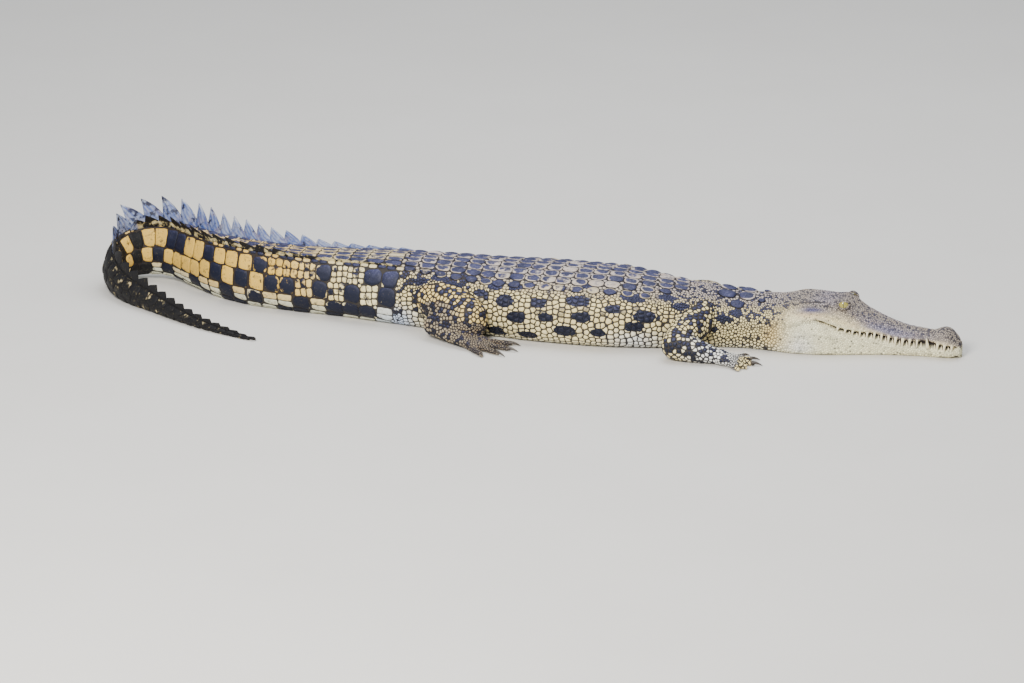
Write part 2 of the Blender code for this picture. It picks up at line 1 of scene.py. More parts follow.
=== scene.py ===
"""The looks of the saltwater crocodile: its hide, scales, crest, teeth, claws and eyes.

A place on the body is (along, share, side): along is the distance from the snout's tip down the
midline, share runs round the half girth from 0, the crown, to 1, the belly's middle, and side is
-1 on the animal's right and 1 on its left.
"""

import math
from itertools import chain, product

import bmesh
import bpy
import numpy as np
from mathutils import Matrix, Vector, bvhtree, kdtree, noise

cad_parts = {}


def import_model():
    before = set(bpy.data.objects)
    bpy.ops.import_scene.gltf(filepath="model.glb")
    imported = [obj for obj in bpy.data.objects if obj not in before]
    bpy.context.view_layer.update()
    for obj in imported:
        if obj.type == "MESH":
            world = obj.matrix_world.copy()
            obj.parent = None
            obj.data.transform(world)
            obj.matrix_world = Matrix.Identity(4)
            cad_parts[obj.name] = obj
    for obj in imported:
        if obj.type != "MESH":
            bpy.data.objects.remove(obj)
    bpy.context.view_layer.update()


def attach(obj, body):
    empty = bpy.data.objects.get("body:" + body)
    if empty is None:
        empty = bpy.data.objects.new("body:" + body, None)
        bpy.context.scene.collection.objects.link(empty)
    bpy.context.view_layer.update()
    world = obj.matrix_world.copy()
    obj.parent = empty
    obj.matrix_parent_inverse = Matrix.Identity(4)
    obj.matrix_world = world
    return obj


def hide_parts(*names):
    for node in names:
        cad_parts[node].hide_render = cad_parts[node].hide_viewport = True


DRAW = np.random.default_rng(11)  # every random choice comes from here

# ---------------------------------------------------------------- the body's shape

MIDLINE = (
    (0.811, -0.240), (0.710, -0.209), (0.609, -0.179), (0.509, -0.149), (0.414, -0.126),
    (0.319, -0.112), (0.224, -0.103), (0.128, -0.083), (0.032, -0.056), (-0.064, -0.029),
    (-0.160, -0.008), (-0.257, 0.015), (-0.354, 0.043), (-0.451, 0.069), (-0.549, 0.108),
    (-0.599, 0.146), (-0.649, 0.197), (-0.691, 0.237), (-0.731, 0.253), (-0.770, 0.253),
    (-0.800, 0.235), (-0.816, 0.197), (-0.810, 0.153), (-0.788, 0.108), (-0.732, 0.041),
    (-0.635, -0.064), (-0.528, -0.147),
)
MIDDLE_OF_BOX = (-0.01261, -0.02421)

EYE_AT = 0.222
MOUTH_CORNER = 0.268
NOTCH_AT = 0.060
HEAD_END = 0.326
VENT = 1.081
CREST_JOINS = 1.700

# The body's outline by the distance along, in the order of its turns: the belly's flat, the low
# side, the widest place, the upper side, the back's edge and the crown.
HALF_WIDTH = (
    (0.000, 0.0120), (0.008, 0.0215), (0.019, 0.0275), (0.034, 0.0295), (0.060, 0.0255),
    (0.082, 0.0305), (0.111, 0.0365), (0.154, 0.0425), (0.193, 0.0530), (0.231, 0.0645),
    (0.270, 0.0740), (0.309, 0.0800), (0.360, 0.0790), (0.420, 0.0780), (0.500, 0.0920),
    (0.580, 0.1090), (0.670, 0.1220), (0.790, 0.1240), (0.900, 0.1130), (1.000, 0.0970),
    (1.080, 0.0850), (1.210, 0.0640), (1.310, 0.0525), (1.420, 0.0435), (1.550, 0.0350),
    (1.640, 0.0295), (1.750, 0.0240), (1.840, 0.0200), (1.925, 0.0160), (2.060, 0.0100),
    (2.200, 0.0040),
)
WIDEST_HEIGHT = (
    (0.000, 0.0210), (0.029, 0.0242), (0.060, 0.0275), (0.110, 0.0305), (0.137, 0.0355),
    (0.158, 0.0400), (0.199, 0.0460), (0.226, 0.0535), (0.245, 0.0620), (0.270, 0.0695),
    (0.309, 0.0700), (0.360, 0.0560), (0.420, 0.0480), (0.600, 0.0520), (0.800, 0.0500),
    (1.000, 0.0500), (1.200, 0.0520), (1.400, 0.0500), (1.600, 0.0450), (1.750, 0.0380),
    (1.840, 0.0290), (1.925, 0.0210), (2.060, 0.0110), (2.200, 0.0035),
)
FLAT_HALF_WIDTH = (
    (0.000, 0.0050), (0.029, 0.0130), (0.060, 0.0160), (0.110, 0.0220), (0.156, 0.0330),
    (0.193, 0.0440), (0.231, 0.0560), (0.270, 0.0650), (0.309, 0.0690), (0.420, 0.0580),
    (0.500, 0.0620), (0.600, 0.0740), (0.700, 0.0830), (0.800, 0.0840), (0.900, 0.0760),
    (1.000, 0.0630), (1.080, 0.0500), (1.200, 0.0340), (1.300, 0.0260), (1.420, 0.0190),
    (1.550, 0.0130), (1.750, 0.0080), (1.925, 0.0050), (2.200, 0.0015),
)
LOW_SIDE = ((0.0, 0.90), (0.193, 0.95), (0.251, 1.04), (0.309, 1.04), (0.42, 0.97),
            (1.00, 0.94), (1.20, 0.90), (2.200, 0.85))
UPPER_SIDE = ((0.0, 0.80), (0.140, 0.76), (0.186, 0.62), (0.242, 0.50), (0.298, 0.52),
              (0.38, 0.76), (0.60, 0.80), (1.00, 0.76), (1.30, 0.62), (2.200, 0.55))
EDGE_HALF_WIDTH = (
    (0.000, 0.0070), (0.017, 0.0150), (0.032, 0.0175), (0.056, 0.0140), (0.091, 0.0180),
    (0.125, 0.0205), (0.152, 0.0235), (0.179, 0.0270), (0.215, 0.0335), (0.269, 0.0360),
    (0.292, 0.0380), (0.360, 0.0460), (0.420, 0.0450), (0.500, 0.0550), (0.600, 0.0700),
    (0.700, 0.0800), (0.800, 0.0800), (0.900, 0.0720), (1.000, 0.0600), (1.080, 0.0520),
    (1.200, 0.0420), (1.300, 0.0350), (1.420, 0.0260), (1.550, 0.0180), (1.640, 0.0110),
    (1.700, 0.0060), (1.925, 0.0040), (2.200, 0.0012),
)
EDGE_DROP = ((0.0, 0.0060), (0.058, 0.0040), (0.145, 0.0065), (0.193, 0.0045), (0.251, 0.0010),
             (0.309, 0.0020), (0.36, 0.0100), (0.60, 0.0130), (0.80, 0.0140), (1.00, 0.0130),
             (1.15, 0.0080), (1.30, 0.0030), (1.45, 0.0000), (1.65, 0.0000), (1.72, 0.0030),
             (2.200, 0.0008))
CROWN_HEIGHT = (
    (0.000, 0.0300), (0.010, 0.0445), (0.020, 0.0530), (0.033, 0.0560), (0.058, 0.0490),
    (0.079, 0.0500), (0.107, 0.0525), (0.140, 0.0610), (0.163, 0.0690), (0.191, 0.0790),
    (0.223, 0.0910), (0.252, 0.0970), (0.295, 0.0985), (0.350, 0.0935), (0.380, 0.0930),
    (0.436, 0.0950), (0.485, 0.1010), (0.535, 0.1080), (0.612, 0.1190), (0.671, 0.1250),
    (0.790, 0.1260), (0.896, 0.1250), (1.013, 0.1280), (1.110, 0.1270), (1.210, 0.1210),
    (1.311, 0.1180), (1.420, 0.1180), (1.550, 0.1100), (1.640, 0.1040), (1.700, 0.0980),
    (1.760, 0.0900), (1.800, 0.0770), (1.850, 0.0600), (1.940, 0.0410), (2.070, 0.0200),
    (2.200, 0.0065),
)
# How far the body is off the floor.
LIFT = ((0.000, 0.0120), (0.012, 0.0035), (0.030, 0.0), (0.200, 0.0), (1.450, 0.0),
        (1.560, 0.0060), (1.640, 0.0120), (1.700, 0.0100), (1.790, 0.0020), (1.850, 0.0),
        (2.200, 0.0))
CREST_HEIGHT = (
    (1.081, 0.0050), (1.160, 0.0068), (1.210, 0.0098), (1.280, 0.0160), (1.340, 0.0255),
    (1.420, 0.0330), (1.520, 0.0410), (1.640, 0.0480), (1.700, 0.0480), (1.760, 0.0430),
    (1.850, 0.0290), (1.940, 0.0200), (2.070, 0.0105), (2.200, 0.0030),
)
DOUBLE_WHORLS = 19
SINGLE_WHORLS = 19
LAST_WHORL = 0.60
CREST_FLARE = {1: 0.35, -1: 0.55}  # outward, as a share of a blade's height, by side
CREST_SHARE = {1: 1.0, -1: 0.50}  # of the full height
CREST_LEAN = 0.30

LIP = ((0.0, 0.0022), (0.016, 0.0042), (0.036, 0.0062), (0.10, 0.0076), (0.14, 0.0070),
       (0.18, 0.0048), (0.21, 0.0026), (0.24, 0.0008), (0.268, 0.0))
LIP_DEPTH = 0.0100
JAW_INSET = 0.0035
BROW_RISE = 0.0150
FAR_BROW = 0.70  # the left brow's share of the rise, on the lowered side of the head
BROW_ACROSS = 0.0295
EYE_RADIUS = 0.0112
EYE_ACROSS = 0.0335
EYE_UP = {-1: 0.0955, 1: 0.0880}

# How deep the coat of scales lies on the hide, along the body.
COAT_DEPTH = ((0.0, 0.0006), (0.30, 0.0008), (0.42, 0.0012), (0.60, 0.0016), (1.60, 0.0016),
              (2.0, 0.0010), (2.2, 0.0004))
LIMB_COAT = 0.0011


def through(table, at, steady=True):
    """A smooth curve through a table's values; a steady one never swings past them."""
    knots = np.array([row[0] for row in table], float)
    values = np.array([row[1] for row in table], float)
    at = np.clip(np.asarray(at, float), knots[0], knots[-1])
    slopes = np.gradient(values, knots)
    if steady:
        rise = np.diff(values) / np.diff(knots)
        before, after = np.append(rise[0], rise), np.append(rise, rise[-1])
        most = 3 * np.minimum(np.abs(before), np.abs(after))
        slopes = np.where(before * after > 0, np.clip(slopes, -most, most), 0.0)
    k = np.clip(np.searchsorted(knots, at, side="right") - 1, 0, len(knots) - 2)
    span = knots[k + 1] - knots[k]
    u = (at - knots[k]) / span
    start = (1 + 2 * u) * (1 - u) ** 2 * values[k] + u * (1 - u) ** 2 * span * slopes[k]
    end = u * u * (3 - 2 * u) * values[k + 1] - u * u * (1 - u) * span * slopes[k + 1]
    return start + end


def measured_midline():
    """Distances along the midline, and where each lies on the floor."""
    points = np.array(MIDLINE) - np.array(MIDDLE_OF_BOX)
    chords = np.hypot(*np.diff(points, axis=0).T)
    knots = np.concatenate(([0.0], np.cumsum(chords)))
    at = np.linspace(0.0, knots[-1], 1500)
    x = through(tuple(zip(knots, points[:, 0])), at, steady=False)
    y = through(tuple(zip(knots, points[:, 1])), at, steady=False)
    along = np.concatenate(([0.0], np.cumsum(np.hypot(np.diff(x), np.diff(y)))))
    return along, x, y


ALONG, LINE_X, LINE_Y = measured_midline()
LENGTH = float(ALONG[-1])


def smooth(low, high, value):
    """0 below low, 1 above high, and an even turn between."""
    u = np.clip((np.asarray(value, float) - low) / (high - low), 0.0, 1.0)
    return u * u * (3 - 2 * u)


def hump(value, middle, reach):
    """1 at the middle, fading to nothing beyond the reach."""
    return np.exp(-((np.asarray(value, float) - middle) / reach) ** 2)


def place(along, across, up):
    """The points in space of places on the animal."""
    along, across, up = np.broadcast_arrays(np.asarray(along, float), across, up)
    ahead, behind = np.maximum(along - 0.004, 0.0), np.minimum(along + 0.004, LENGTH)
    dx = np.interp(ahead, ALONG, LINE_X) - np.interp(behind, ALONG, LINE_X)
    dy = np.interp(ahead, ALONG, LINE_Y) - np.interp(behind, ALONG, LINE_Y)
    run = np.hypot(dx, dy)
    x = np.interp(along, ALONG, LINE_X) - across * dy / run
    y = np.interp(along, ALONG, LINE_Y) + across * dx / run
    return np.stack([x, y, up], -1)


def point_at(along, across, up):
    """One place on the animal, as a vector."""
    return Vector(place(along, across, up))


def outline(along, turn):
    """(across, up) on the half outline; turn runs from 0, the belly, to 6, the crown."""
    along = np.atleast_1d(np.asarray(along, float))
    turn = np.broadcast_to(turn, (len(along), np.shape(turn)[-1]))
    half, widest = through(HALF_WIDTH, along), through(WIDEST_HEIGHT, along)
    flat, edge = through(FLAT_HALF_WIDTH, along), through(EDGE_HALF_WIDTH, along)
    crown = through(CROWN_HEIGHT, along)
    edge_up = crown - through(EDGE_DROP, along)
    low = flat + (half * through(LOW_SIDE, along) - flat) * 0.86
    side = edge + (half - edge) * through(UPPER_SIDE, along)
    none = np.zeros_like(half)
    guide_across = np.stack([-flat, none, flat, low, half, side, edge, none, -edge], -1)
    guide_up = np.stack([none, none, none, widest * 0.36, widest,
                         widest + (edge_up - widest) * 0.60, edge_up, crown, edge_up], -1)
    k = np.minimum(turn.astype(int), 5)
    u = turn - k
    results = []
    for guide in (guide_across, guide_up):
        a, b, c, d = (np.take_along_axis(guide, k + i, 1) for i in range(4))
        curve = b + 0.5 * u * (c - a + u * (2 * a - 5 * b + 4 * c - d + u * (3 * (b - c) + d - a)))
        results.append(np.maximum(curve, 0.0))
    return results


# The turn at even shares of the half girth, and the half girth, at even places along.
GIRTH_STEP = 0.004
GIRTH_AT = np.arange(0.0, LENGTH, GIRTH_STEP)
GIRTH_SHARES = np.linspace(0.0, 1.0, 121)


def measured_girth():
    """The table of turns and the half girths that the rest is looked up in."""
    turns = np.linspace(6.0, 0.0, 241)
    across, up = outline(GIRTH_AT, turns)
    run = np.hypot(np.diff(across, axis=1), np.diff(up, axis=1))
    arc = np.concatenate((np.zeros((len(GIRTH_AT), 1)), np.cumsum(run, axis=1)), axis=1)
    table = np.array([np.interp(GIRTH_SHARES * row[-1], row, turns) for row in arc])
    return table, arc[:, -1]


TURN_TABLE, GIRTH_TABLE = measured_girth()


def half_girth(along):
    """The distance round the body from the crown to the belly's middle."""
    return np.interp(along, GIRTH_AT, GIRTH_TABLE)


def turn_of(along, share):
    """The turn at a share of the half girth."""
    row = np.clip(np.asarray(along, float) / GIRTH_STEP, 0, len(GIRTH_AT) - 1.001)
    column = np.clip(np.asarray(share, float), 0, 1) * (len(GIRTH_SHARES) - 1.001)
    i, j = row.astype(int), column.astype(int)
    u, v = row - i, column - j
    near = TURN_TABLE[i, j] * (1 - v) + TURN_TABLE[i, j + 1] * v
    far = TURN_TABLE[i + 1, j] * (1 - v) + TURN_TABLE[i + 1, j + 1] * v
    return near * (1 - u) + far * u


def share_of(along, turn):
    """The share of the half girth at a turn."""
    row = np.clip((np.atleast_1d(along) / GIRTH_STEP).astype(int), 0, len(GIRTH_AT) - 1)
    return np.array([np.interp(-turn, -TURN_TABLE[i], GIRTH_SHARES) for i in row])


def creases(along, turn):
    """1 in the ear's slit and the furrow behind the eye."""
    ear = hump(along, 0.2790, 0.017) ** 0.3 * hump(turn, 4.86 - (along - 0.280) * 5.0, 0.15)
    behind_eye = hump(along, 0.250, 0.010) ** 0.3 * hump(turn, 4.55, 0.10) * 0.7
    return np.maximum(ear, behind_eye)


def cheek_fold(along, turn):
    """1 in the soft fold that runs back and down from the mouth's corner."""
    fold_turn = 3.0 - 6.0 * (np.clip(along, 0.268, 0.320) - 0.268)
    return (along > 0.262) * hump(along, 0.270, 0.028) ** 0.4 * hump(turn, fold_turn, 0.12)


def brow(along, across):
    """How far the brow ridge rises over the eye."""
    return BROW_RISE * np.exp(-((along - EYE_AT + 0.001) / 0.020) ** 2
                              - ((np.abs(across) - BROW_ACROSS) / 0.0105) ** 2)


def on_body(along, share, side):
    """Points on the body's outline."""
    along, share, side = np.broadcast_arrays(np.asarray(along, float), share, side)
    across, up = outline(along, turn_of(along, share)[:, None])
    across, up = across[:, 0], up[:, 0]
    up = up + np.where(along > 0.2, through(LIFT, along), 0.0)
    rise = brow(along, across) * np.where(side > 0, FAR_BROW, 1.0)
    up = up + np.where(share < 0.5, rise, 0.0)
    return place(along, across * side, up)


def whorl_starts():
    """Where each scute of the crest begins: the paired ones, then the single ones."""
    double = (CREST_JOINS - VENT) / DOUBLE_WHORLS
    starts = [VENT + double * k for k in range(DOUBLE_WHORLS)]
    shares = np.linspace(1.0, LAST_WHORL, SINGLE_WHORLS)
    ends = np.cumsum(shares) / np.sum(shares) * (LENGTH - 0.004 - CREST_JOINS)
    return starts + [CREST_JOINS] + [CREST_JOINS + float(end) for end in ends]


WHORLS = whorl_starts()

FORELIMB = {
    "joints": ((0.500, 0.050, 0.062), (0.550, 0.150, 0.030), (0.464, 0.164, 0.017),
               (0.424, 0.164, 0.010)),
    "sizes": ((0.040, 0.034), (0.026, 0.028), (0.017, 0.0155)),
    "hand_sizes": ((0.017, 0.0150), (0.027, 0.0105)),
    "toes": (-52, -24, 2, 27, 50),
    "toe_lengths": (0.030, 0.040, 0.044, 0.038, 0.030),
    "clawed": 3,
}
HINDLIMB = {
    "joints": ((1.020, 0.050, 0.066), (0.932, 0.126, 0.046), (1.004, 0.122, 0.027),
               (0.908, 0.160, 0.011)),
    "sizes": ((0.050, 0.042), (0.034, 0.040), (0.020, 0.021)),
    "hand_sizes": ((0.019, 0.0200), (0.031, 0.0110)),
    "toes": (-26, -8, 9, 27),
    "toe_lengths": (0.056, 0.068, 0.064, 0.050),
    "clawed": 3,
}
LIMBS = [(side, limb) for side in (-1, 1) for limb in (FORELIMB, HINDLIMB)]


def limb_joints(side, limb):
    """Where a limb starts, bends twice and meets its toes."""
    return [point_at(along, side * across, up) for along, across, up in limb["joints"]]


# ---------------------------------------------------------------- making meshes

def add_sheet(bm, points):
    """A grid of faces through rows of points; rows and ends that meet are joined."""
    rows, columns = points.shape[:2]
    made = bmesh.ops.create_grid(bm, x_segments=columns - 1, y_segments=rows - 1, size=1.0)
    for vert, point in zip(made["verts"], points.reshape(-1, 3)):
        vert.co = point
    bmesh.ops.remove_doubles(bm, verts=made["verts"], dist=1e-6)


def closed_rows(rings):
    """Rows of points from rings: each ring is closed, and a pole is added at both ends."""
    rows = np.array([[tuple(point) for point in ring] for ring in rings])
    rows = np.concatenate((rows, rows[:, :1]), axis=1)
    first = np.broadcast_to(rows[0, :-1].mean(axis=0), rows[:1].shape)
    last = np.broadcast_to(rows[-1, :-1].mean(axis=0), rows[:1].shape)
    return np.concatenate((first, rows, last), axis=0)


def new_object(name, mesh):
    obj = bpy.data.objects.new(name, mesh)
    bpy.context.collection.objects.link(obj)
    return obj


def finished(name, bm, even=True):
    """An object from a bmesh, with its faces turned outward."""
    if even:
        bmesh.ops.recalc_face_normals(bm, faces=bm.faces)
    mesh = bpy.data.meshes.new(name)
    bm.to_mesh(mesh)
    bm.free()
    mesh.shade_smooth()
    return new_object(name, mesh)


def applied(obj):
    """Makes an object's modifiers part of its mesh."""
    seen = obj.evaluated_get(bpy.context.evaluated_depsgraph_get())
    mesh = bpy.data.meshes.new_from_object(seen)
    obj.modifiers.clear()
    old = obj.data
    obj.data = mesh
    bpy.data.meshes.remove(old)


def numbers_of(items, field, width=3, kind=float):
    """What a mesh says of its points, edges or faces, one row for each."""
    flat = np.empty(len(items) * width, dtype=kind)
    items.foreach_get(field, flat)
    return flat.reshape(-1, width)


def points_of(mesh):
    return numbers_of(mesh.vertices, "co")


def set_points(mesh, points):
    mesh.vertices.foreach_set("co", np.ascontiguousarray(points, dtype=float).ravel())
    mesh.update()


def even_out(mesh, weights, rounds):
    """Moves each point towards its neighbours' middle, by its weight."""
    points = points_of(mesh)
    a, b = numbers_of(mesh.edges, "vertices", 2, int).T
    count = np.bincount(a, minlength=len(points)) + np.bincount(b, minlength=len(points))
    for _ in range(rounds):
        total = np.zeros_like(points)
        for axis in range(3):
            total[:, axis] = (np.bincount(a, points[b, axis], len(points))
                              + np.bincount(b, points[a, axis], len(points)))
        middle = total / np.maximum(count, 1)[:, None]
        points = points + (middle - points) * 0.5 * weights[:, None]
    set_points(mesh, points)


def unit(rows):
    """Vectors brought to length 1."""
    return rows / np.maximum(np.linalg.norm(rows, axis=-1), 1e-6)[..., None]


def tree_of(points):
    """A tree that finds the points nearest to a place, by their numbers."""
    tree = kdtree.KDTree(len(points))
    for number, point in enumerate(points):
        tree.insert(point, number)
    tree.balance()
    return tree


def set_down(tree, points, reach):
    """The nearest places on a surface and its normals there; points beyond reach stay."""
    hits = [tree.find_nearest(point, reach) for point in points]
    found = np.array([hit[0] is not None for hit in hits])
    at = np.array([tuple(point if hit[0] is None else hit[0]) for hit, point in zip(hits, points)])
    normal = np.array([(0, 0, 1) if hit[0] is None else tuple(hit[1]) for hit in hits])
    return at, normal, found


# ---------------------------------------------------------------- the hide

HALF_COLUMNS = 52  # round half a ring
LOWER_LIP, UPPER_LIP = 21, 25  # the columns at the lips' edges
HEAD_TOP_FROM = 34  # the columns beyond this lie on the skull's and snout's top
FIRST_TOOTH, LAST_TOOTH = 0.013, 0.226
UPPER_TEETH, LOWER_TEETH = 17, 15
TOOTH_SPACING = (LAST_TOOTH - FIRST_TOOTH) / (UPPER_TEETH - 1)


def lip_line(along):
    """The height of the line between the jaws, whose front is turned up."""
    return through(WIDEST_HEIGHT, along) + through(LIFT, along) * 0.3


def lip_gap(along):
    """Half the opening between the lips."""
    return through(LIP, along)


def jaw_inset(along):
    """How far the lower jaw's side lies inside the upper lip."""
    notch = hump(along, NOTCH_AT, 0.009)
    fade = np.clip((MOUTH_CORNER - along) / 0.036, 0.0, 1.0)
    return JAW_INSET * (1 - notch) * fade


def tooth_wave(along):
    """1 beside each upper tooth and -1 halfway between two, dying out at the mouth's corner."""
    wave = np.cos(2 * math.pi * (along - FIRST_TOOTH) / TOOTH_SPACING)
    return wave * smooth(0.004, 0.014, along) * smooth(0.0, 0.03, LAST_TOOTH + 0.02 - along)


def half_rings(along):
    """(across, up) of the hide's half rings, before the coat's depth is taken off."""
    s = along[:, None]
    columns = np.arange(HALF_COLUMNS + 1)
    even = turn_of(s, 1 - columns / HALF_COLUMNS)
    crowded = np.concatenate((np.linspace(0, 2.92, 22), (2.96, 3.0, 3.04),
                              np.linspace(3.08, 6, 28)))
    head = 1 - smooth(0.275, 0.335, s)
    turns = even * (1 - head) + crowded * head
    across, up = outline(along, turns)
    up = up + np.where(turns > 3.5, brow(s, across) * head, 0.0)
    up = up + np.where(s > 0.2, through(LIFT, s), 0.0)

    # the mouth: the lips part, and a groove runs in between them
    half, widest, crown = (through(table, s) for table in (HALF_WIDTH, WIDEST_HEIGHT, CROWN_HEIGHT))
    line, gap, wave = lip_line(s), lip_gap(s), tooth_wave(s)
    open_share = smooth(0.0, 0.012, MOUTH_CORNER - s) * smooth(0.0020, 0.0085, s)
    raised = np.where(s > 0.2, 0.0, through(LIFT, s))
    low_lip = line - gap - 0.0006 * wave * open_share
    top_lip = line + gap - 0.0010 * wave * open_share
    lower = columns <= LOWER_LIP
    jaw_up = np.maximum(up * low_lip / widest, raised)
    jaw_across = np.maximum(across - jaw_inset(s) * turns / 3, 0.0)
    skull_up = top_lip + (up - widest) * (crown - top_lip) / (crown - widest)
    bulge = 0.0007 * wave * hump(turns, 3.25, 0.22) * open_share
    inner = np.maximum(half - LIP_DEPTH, half * 0.4)
    open_across = np.where(lower, jaw_across, across + bulge)
    open_up = np.where(lower, jaw_up, skull_up)
    groove = slice(LOWER_LIP + 1, UPPER_LIP)
    open_across[:, groove] = inner - np.array([0.0, 0.0012, 0.0])
    open_up[:, groove] = line + np.array([-0.4, 0.0, 0.4]) * np.minimum(gap, 0.0026) * open_share
    rounded = np.array([0.0, 0.0005, 0.0014])
    open_across[:, UPPER_LIP:UPPER_LIP + 3] -= rounded[::-1] * 0.6
    open_across[:, LOWER_LIP - 2:LOWER_LIP + 1] -= rounded * 0.6
    across = across * (1 - open_share) + open_across * open_share
    up = up * (1 - open_share) + open_up * open_share
    return across + head_relief(along, turns, across), up


# The head's swellings, as (height, along, its reach, turn, its reach): the ear's flap, the jaw's
# muscle, the cheekbone, and the hollow before the eye.
SWELLINGS = ((0.0016, 0.280, 0.020, 5.14, 0.12), (0.0022, 0.262, 0.030, 2.3, 0.5),
             (0.0020, 0.252, 0.022, 3.7, 0.3), (-0.0022, 0.203, 0.012, 4.4, 0.4))
# The neck's and trunk's folds, as (along, depth, slant, reach in turns).
FOLDS = ((0.345, 0.0022, 0.004, 1.2), (0.372, 0.0014, 0.004, 1.2), (0.398, 0.0012, 0.004, 1.2),
         (0.612, 0.0022, 0.006, 0.9), (0.630, 0.0016, 0.006, 0.9), (0.886, 0.0020, 0.006, 0.9),
         (0.868, 0.0014, 0.006, 0.9))


def head_relief(along, turns, across):
    """How far the head's and neck's folds and ridges stand out or in."""
    s = along[:, None]
    relief = -0.0036 * creases(s, turns) - 0.0022 * cheek_fold(s, turns)
    for height, at, reach, turn, turn_reach in SWELLINGS:
        relief += height * hump(s, at, reach) * hump(turns, turn, turn_reach)
    for at, depth, slant, turn_reach in FOLDS:
        relief += -depth * hump(s + (turns - 2.5) * slant, at, 0.006) * hump(turns, 2.2, turn_reach)
    return relief * np.where(across > 0.004, 1.0, 0.0)


def head_top(along, across, up, top):
    """The snout's two ridges, its nostrils and the rough top of the skull."""
    s = along[:, None]
    ridge = 0.0022 * hump(across, np.interp(s, (0.105, 0.20), (0.010, 0.029)), 0.0042)
    ridge *= smooth(0.095, 0.125, s) * (1 - smooth(0.190, 0.215, s))
    middle = 0.0012 * hump(across, 0.0, 0.005) * hump(s, 0.085, 0.03)
    nostril = -0.0032 * np.exp(-((s - 0.024) / 0.0042) ** 2 - ((across - 0.0075) / 0.0028) ** 2)
    rim = 0.0016 * np.exp(-((s - 0.024) / 0.0085) ** 2 - ((across - 0.0078) / 0.0062) ** 2)
    dish = -0.0016 * hump(across, 0.0, 0.016) * hump(s, 0.262, 0.030)
    return up + (ridge + middle + nostril + rim + dish) * top


def hide_rows():
    """The hide's rows of points, ring by ring, the coat's depth inside the outline.

    The rings are close on the head and wider apart on the trunk and tail.
    """
    along = np.concatenate((np.arange(0.0008, 0.335, 0.0019), np.arange(0.337, VENT, 0.0072),
                            np.arange(VENT, LENGTH - 0.012, 0.0062)))
    s = along[:, None]
    across, up = half_rings(along)
    top = (np.arange(HALF_COLUMNS + 1) > HEAD_TOP_FROM) * (1 - smooth(0.31, 0.33, s))
    up = head_top(along, across, up, top)
    depth = through(COAT_DEPTH, s)
    across_slope, up_slope = np.gradient(across, axis=1), np.gradient(up, axis=1)
    run = np.maximum(np.hypot(across_slope, up_slope), 1e-6)
    across_in = np.maximum(across - depth * up_slope / run, 0.0)
    across_in[:, [0, -1]] = 0.0
    up_in = np.maximum(up + depth * across_slope / run, depth)
    right = place(s, -across_in, up_in)
    sunk = brow(s, across) * (1 - FAR_BROW) * top
    left = place(s, across_in, up_in - sunk)[:, ::-1][:, 1:]
    rows = np.concatenate((right, left), axis=1)
    front = rows[:1].mean(axis=1, keepdims=True)
    back = rows[-1:].mean(axis=1, keepdims=True)
    nose = front + (rows[:1] - front) * 0.6
    return np.concatenate((np.broadcast_to(front, nose.shape), nose, rows,
                           np.broadcast_to(back, nose.shape)), axis=0)


def limb_ring(middle, heading, half_width, half_height, sides=22):
    """An oval ring across a heading, flattened where it would pass through the floor."""
    sideways = heading.cross(Vector((0, 0, 1))).normalized()
    upward = sideways.cross(heading).normalized()
    ring = []
    for k in range(sides):
        angle = 2 * math.pi * k / sides
        point = middle + sideways * half_width * math.cos(angle)
        point += upward * half_height * math.sin(angle)
        ring.append(Vector((point.x, point.y, max(point.z, LIMB_COAT))))
    return ring


# How a segment's end is rounded off, as shares of its half width: (reach, size).
CAP = ((0.96, 0.28), (0.88, 0.47), (0.70, 0.72), (0.38, 0.92))
SEGMENT_STEPS = 8


def cap_rings(middle, heading, size, way):
    """The rings of a segment's rounded end, from its tip inward."""
    return [limb_ring(middle + heading * (size[0] * way) * reach, heading,
                      size[0] * share, size[1] * share) for reach, share in CAP]


def segment_rings(start, end, size_start, size_end):
    """The rings of one length of a limb, which swells a little and has rounded ends."""
    heading = (end - start).normalized()
    size_start = [value - LIMB_COAT for value in size_start]
    size_end = [value - LIMB_COAT for value in size_end]
    rings = cap_rings(start, heading, size_start, -1)
    for k in range(SEGMENT_STEPS + 1):
        u = k / SEGMENT_STEPS
        swell = 1.0 + 0.10 * math.sin(math.pi * u)
        size = [(a + (b - a) * u) * swell for a, b in zip(size_start, size_end)]
        rings.append(limb_ring(start.lerp(end, u), heading, *size))
    return rings + cap_rings(end, heading, size_end, 1)[::-1]


def toe_lines(side, limb):
    """Each toe's root, heading, length and thickness."""
    joints = limb_joints(side, limb)
    heading = joints[3] - joints[2]
    heading.z = 0.0
    heading.normalize()
    sideways = heading.cross(Vector((0, 0, 1))).normalized()
    half_width, half_height = limb["hand_sizes"][1]
    count = len(limb["toes"])
    lines = []
    for k, (turn, length) in enumerate(zip(limb["toes"], limb["toe_lengths"])):
        angle = -math.radians(turn) * side
        ahead = heading * math.cos(angle) + sideways * math.sin(angle)
        spread = -(k / (count - 1) - 0.5) * 2 * side
        root = joints[3] + sideways * spread * half_width * 0.72
        root.z = 0.0
        lines.append((root, ahead, length, half_height))
    return lines


# A toe's thickness with its joints' swellings, as (share of its length, size).
TOE_RINGS = ((-0.30, 0.70), (-0.25, 0.95), (0.05, 1.0), (0.25, 0.86), (0.40, 0.98),
             (0.55, 0.80), (0.70, 0.86), (0.85, 0.74), (0.95, 0.58), (1.0, 0.34))


